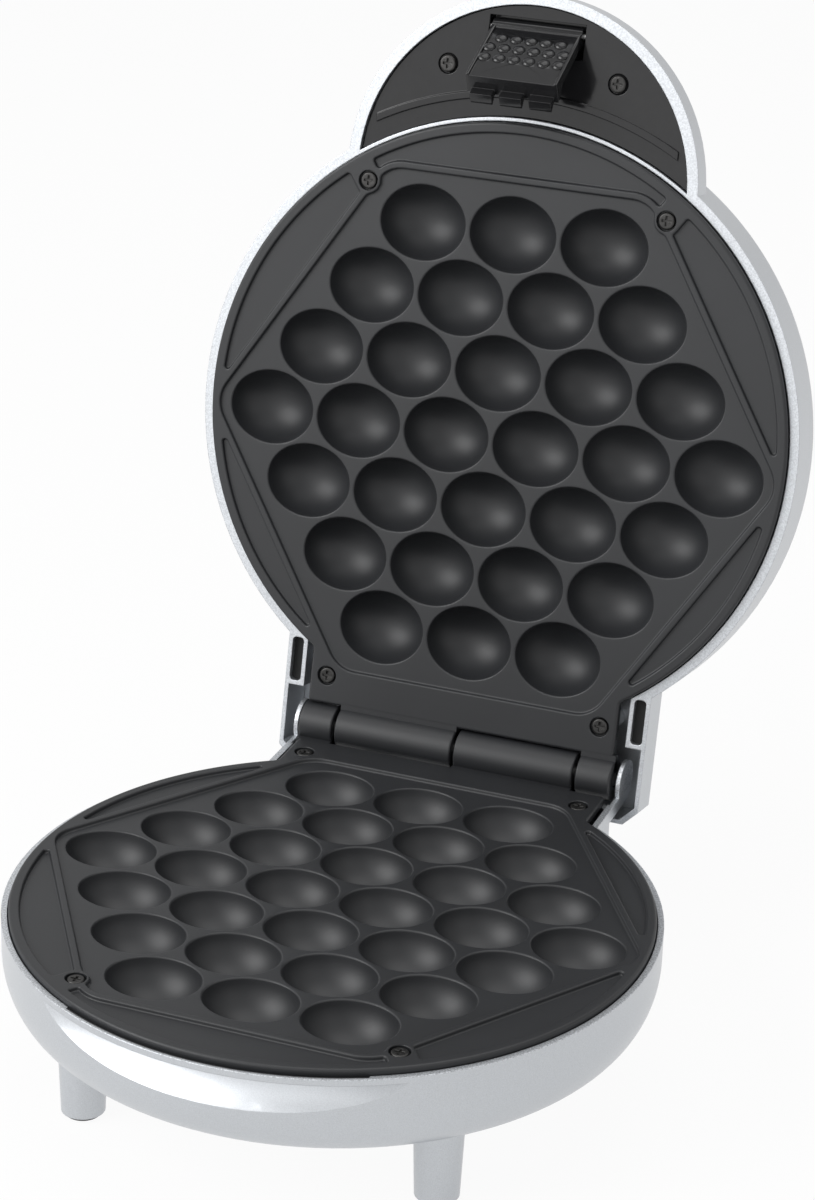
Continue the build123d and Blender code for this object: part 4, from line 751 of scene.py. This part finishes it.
# Heating elements and their pans
# Sheathed elements with a blued, heat-tinted skin and plated tabs, over pans of bright rolled sheet
# with a fine grain.
sheath = Finish("heater_sheath", metallic=1.0)
tint = sheath.noise(9.0, 3.0)
sheath.feed("Base Color", sheath.mix(tint, (0.16, 0.13, 0.12), (0.22, 0.24, 0.29)))
sheath.roughened(0.30, 0.25, 0.7)
sheath.bump(sheath.noise(0.4), 0.01)
plated = Finish("plated_tabs", metallic=1.0)
plated.tinted((0.75, 0.66, 0.42), 0.3, plated.noise(1.5))
plated.roughened(0.22, 0.2, 0.6)
sheet = Finish("bright_sheet", metallic=1.0)
sheet.tinted((0.75, 0.75, 0.76), 0.3, sheet.noise(14.0))
sheet.roughened(0.20, 0.25, 0.5)
sheet.bump(sheet.noise(0.6), 0.01)
for half in ("base", "lid"):
    dress(f"{half}_heater", sheath)
    dress(f"{half}_heater_terminals", plated)
    dress(f"{half}_reflector", sheet)

# Thermostats, fuse and terminal block
# Small electrical pieces in glazed ceramic, cream lacquer and white moulded plastic, with the faint
# mottling that such bodies have.
ceramic = Finish("thermostat_ceramic", coat_weight=0.3)
ceramic.tinted((0.80, 0.77, 0.70), 0.2, ceramic.noise(3.0))
ceramic.roughened(0.35, 0.15, 0.8)
ceramic.bump(ceramic.noise(0.9), 0.01)
lacquer = Finish("fuse_lacquer", coat_weight=0.2)
lacquer.tinted((0.72, 0.69, 0.58), 0.3, lacquer.noise(2.0))
lacquer.roughened(0.4, 0.1, 0.7)
white = Finish("block_white")
white.tinted((0.80, 0.80, 0.78), 0.2, white.noise(4.0))
white.roughened(0.45, 0.15, 0.8)
white.bump(white.noise(0.5), 0.01)
for half in ("base", "lid"):
    dress(f"{half}_thermostat", ceramic)
dress("thermal_fuse", lacquer)
dress("terminal_block", white, MOULDED_EDGE)

# Lamp windows and lamps
# Red and green plastic windows are set in the lid's outside. A small glass lamp stands behind
# each one, held by a dark plastic clip.
for node, colour in (("power_lens", (0.60, 0.02, 0.015)), ("ready_lens", (0.03, 0.42, 0.09))):
    window = Finish(f"{node}_plastic", coat_weight=0.6, coat_roughness=0.03)
    window.tinted(colour, 0.3, window.noise(1.5))
    window.roughened(0.10, 0.08, 1.0)
    dress(node, window)
glass = Finish("lamp_glass", transmission_weight=0.6)
glass.tinted((0.90, 0.62, 0.42), 0.2, glass.noise(2.0))
glass.roughened(0.05, 0.05, 1.0)
dress("indicator_lamps", glass)
clip = Finish("holder_plastic")
clip.tinted((0.05, 0.05, 0.05), 0.4, clip.noise(2.0))
clip.roughened(0.45, 0.15, 0.6)
dress("lamp_holder", clip, MOULDED_EDGE)

# Floor, light and background
# A plain pale floor and a white surround, with large soft lamps to the left, front, right and above.
# To the camera and in reflections both look paler than the light that they give.
FLOOR_HALF = 8.0
FLOOR_COLOUR, FLOOR_ROUGHNESS = (0.82, 0.82, 0.82), 0.9
FLOOR_SEEN, FLOOR_MIRRORED = 0.94, 0.78
SKY_LIGHT, SKY_MIRRORED, SKY_SEEN = 0.32, 0.75, 1.0
floor_mesh = bpy.data.meshes.new("floor")
floor_corners = [(x * FLOOR_HALF, y * FLOOR_HALF, 0) for x, y in ((-1, -1), (1, -1), (1, 1), (-1, 1))]
floor_mesh.from_pydata(floor_corners, [], [(0, 1, 2, 3)])
floor = bpy.data.objects.new("floor", floor_mesh)
bpy.context.scene.collection.objects.link(floor)
paper = Finish("paper", base_color=FLOOR_COLOUR, roughness=FLOOR_ROUGHNESS)
rays = paper.node("ShaderNodeLightPath", {}, {}).outputs
glow = paper.node("ShaderNodeEmission", {}, {"Color": (1, 1, 1), "Strength": 1.0})
seen, mirrored = Value(paper, rays["Is Camera Ray"]), Value(paper, rays["Is Glossy Ray"])
shares = {0: seen * FLOOR_SEEN + mirrored * FLOOR_MIRRORED, 1: paper.shader.outputs[0], 2: glow.outputs[0]}
blend = paper.node("ShaderNodeMixShader", {}, shares)
paper.put(paper.tree.nodes["Material Output"].inputs["Surface"], blend.outputs[0])
floor_mesh.materials.append(paper.material)


class Surround(Finish):
    """The world's background shader, fed by the same kind of sums."""

    def __init__(self):
        world = bpy.data.worlds.new("studio")
        world.use_nodes = True
        bpy.context.scene.world = world
        self.tree = world.node_tree
        self.shader = self.tree.nodes["Background"]


sky = Surround()
rays = sky.node("ShaderNodeLightPath", {}, {}).outputs
seen, mirrored = Value(sky, rays["Is Camera Ray"]), Value(sky, rays["Is Glossy Ray"])
sky.feed("Strength", SKY_LIGHT + mirrored * (SKY_MIRRORED - SKY_LIGHT) + seen * (SKY_SEEN - SKY_LIGHT))
sky.feed("Color", (1, 1, 1))


def lamp(name, place, target, size, power):
    """Soft rectangular lamp at place, facing target, all in metres, with its power in watts."""
    data = bpy.data.lights.new(name, "AREA")
    data.shape = "RECTANGLE"
    data.size, data.size_y = size
    data.energy = power
    made = bpy.data.objects.new(name, data)
    made.location = place
    made.rotation_euler = (Vector(target) - Vector(place)).to_track_quat("-Z", "Y").to_euler()
    bpy.context.scene.collection.objects.link(made)


lamp("left_softbox", (-1.2, -1.0, 1.15), (0, 0, 0.12), (1.3, 1.1), 26)
lamp("front_softbox", (-0.7, -2.0, 0.8), (0, 0, 0.2), (2.6, 1.4), 9)
lamp("right_softbox", (1.2, -0.9, 0.9), (0, 0, 0.12), (0.6, 1.0), 1.5)
lamp("top_softbox", (0.1, 0.1, 1.6), (0, 0, 0.1), (1.2, 1.2), 8)

bpy.context.scene.view_settings.view_transform = "Standard"
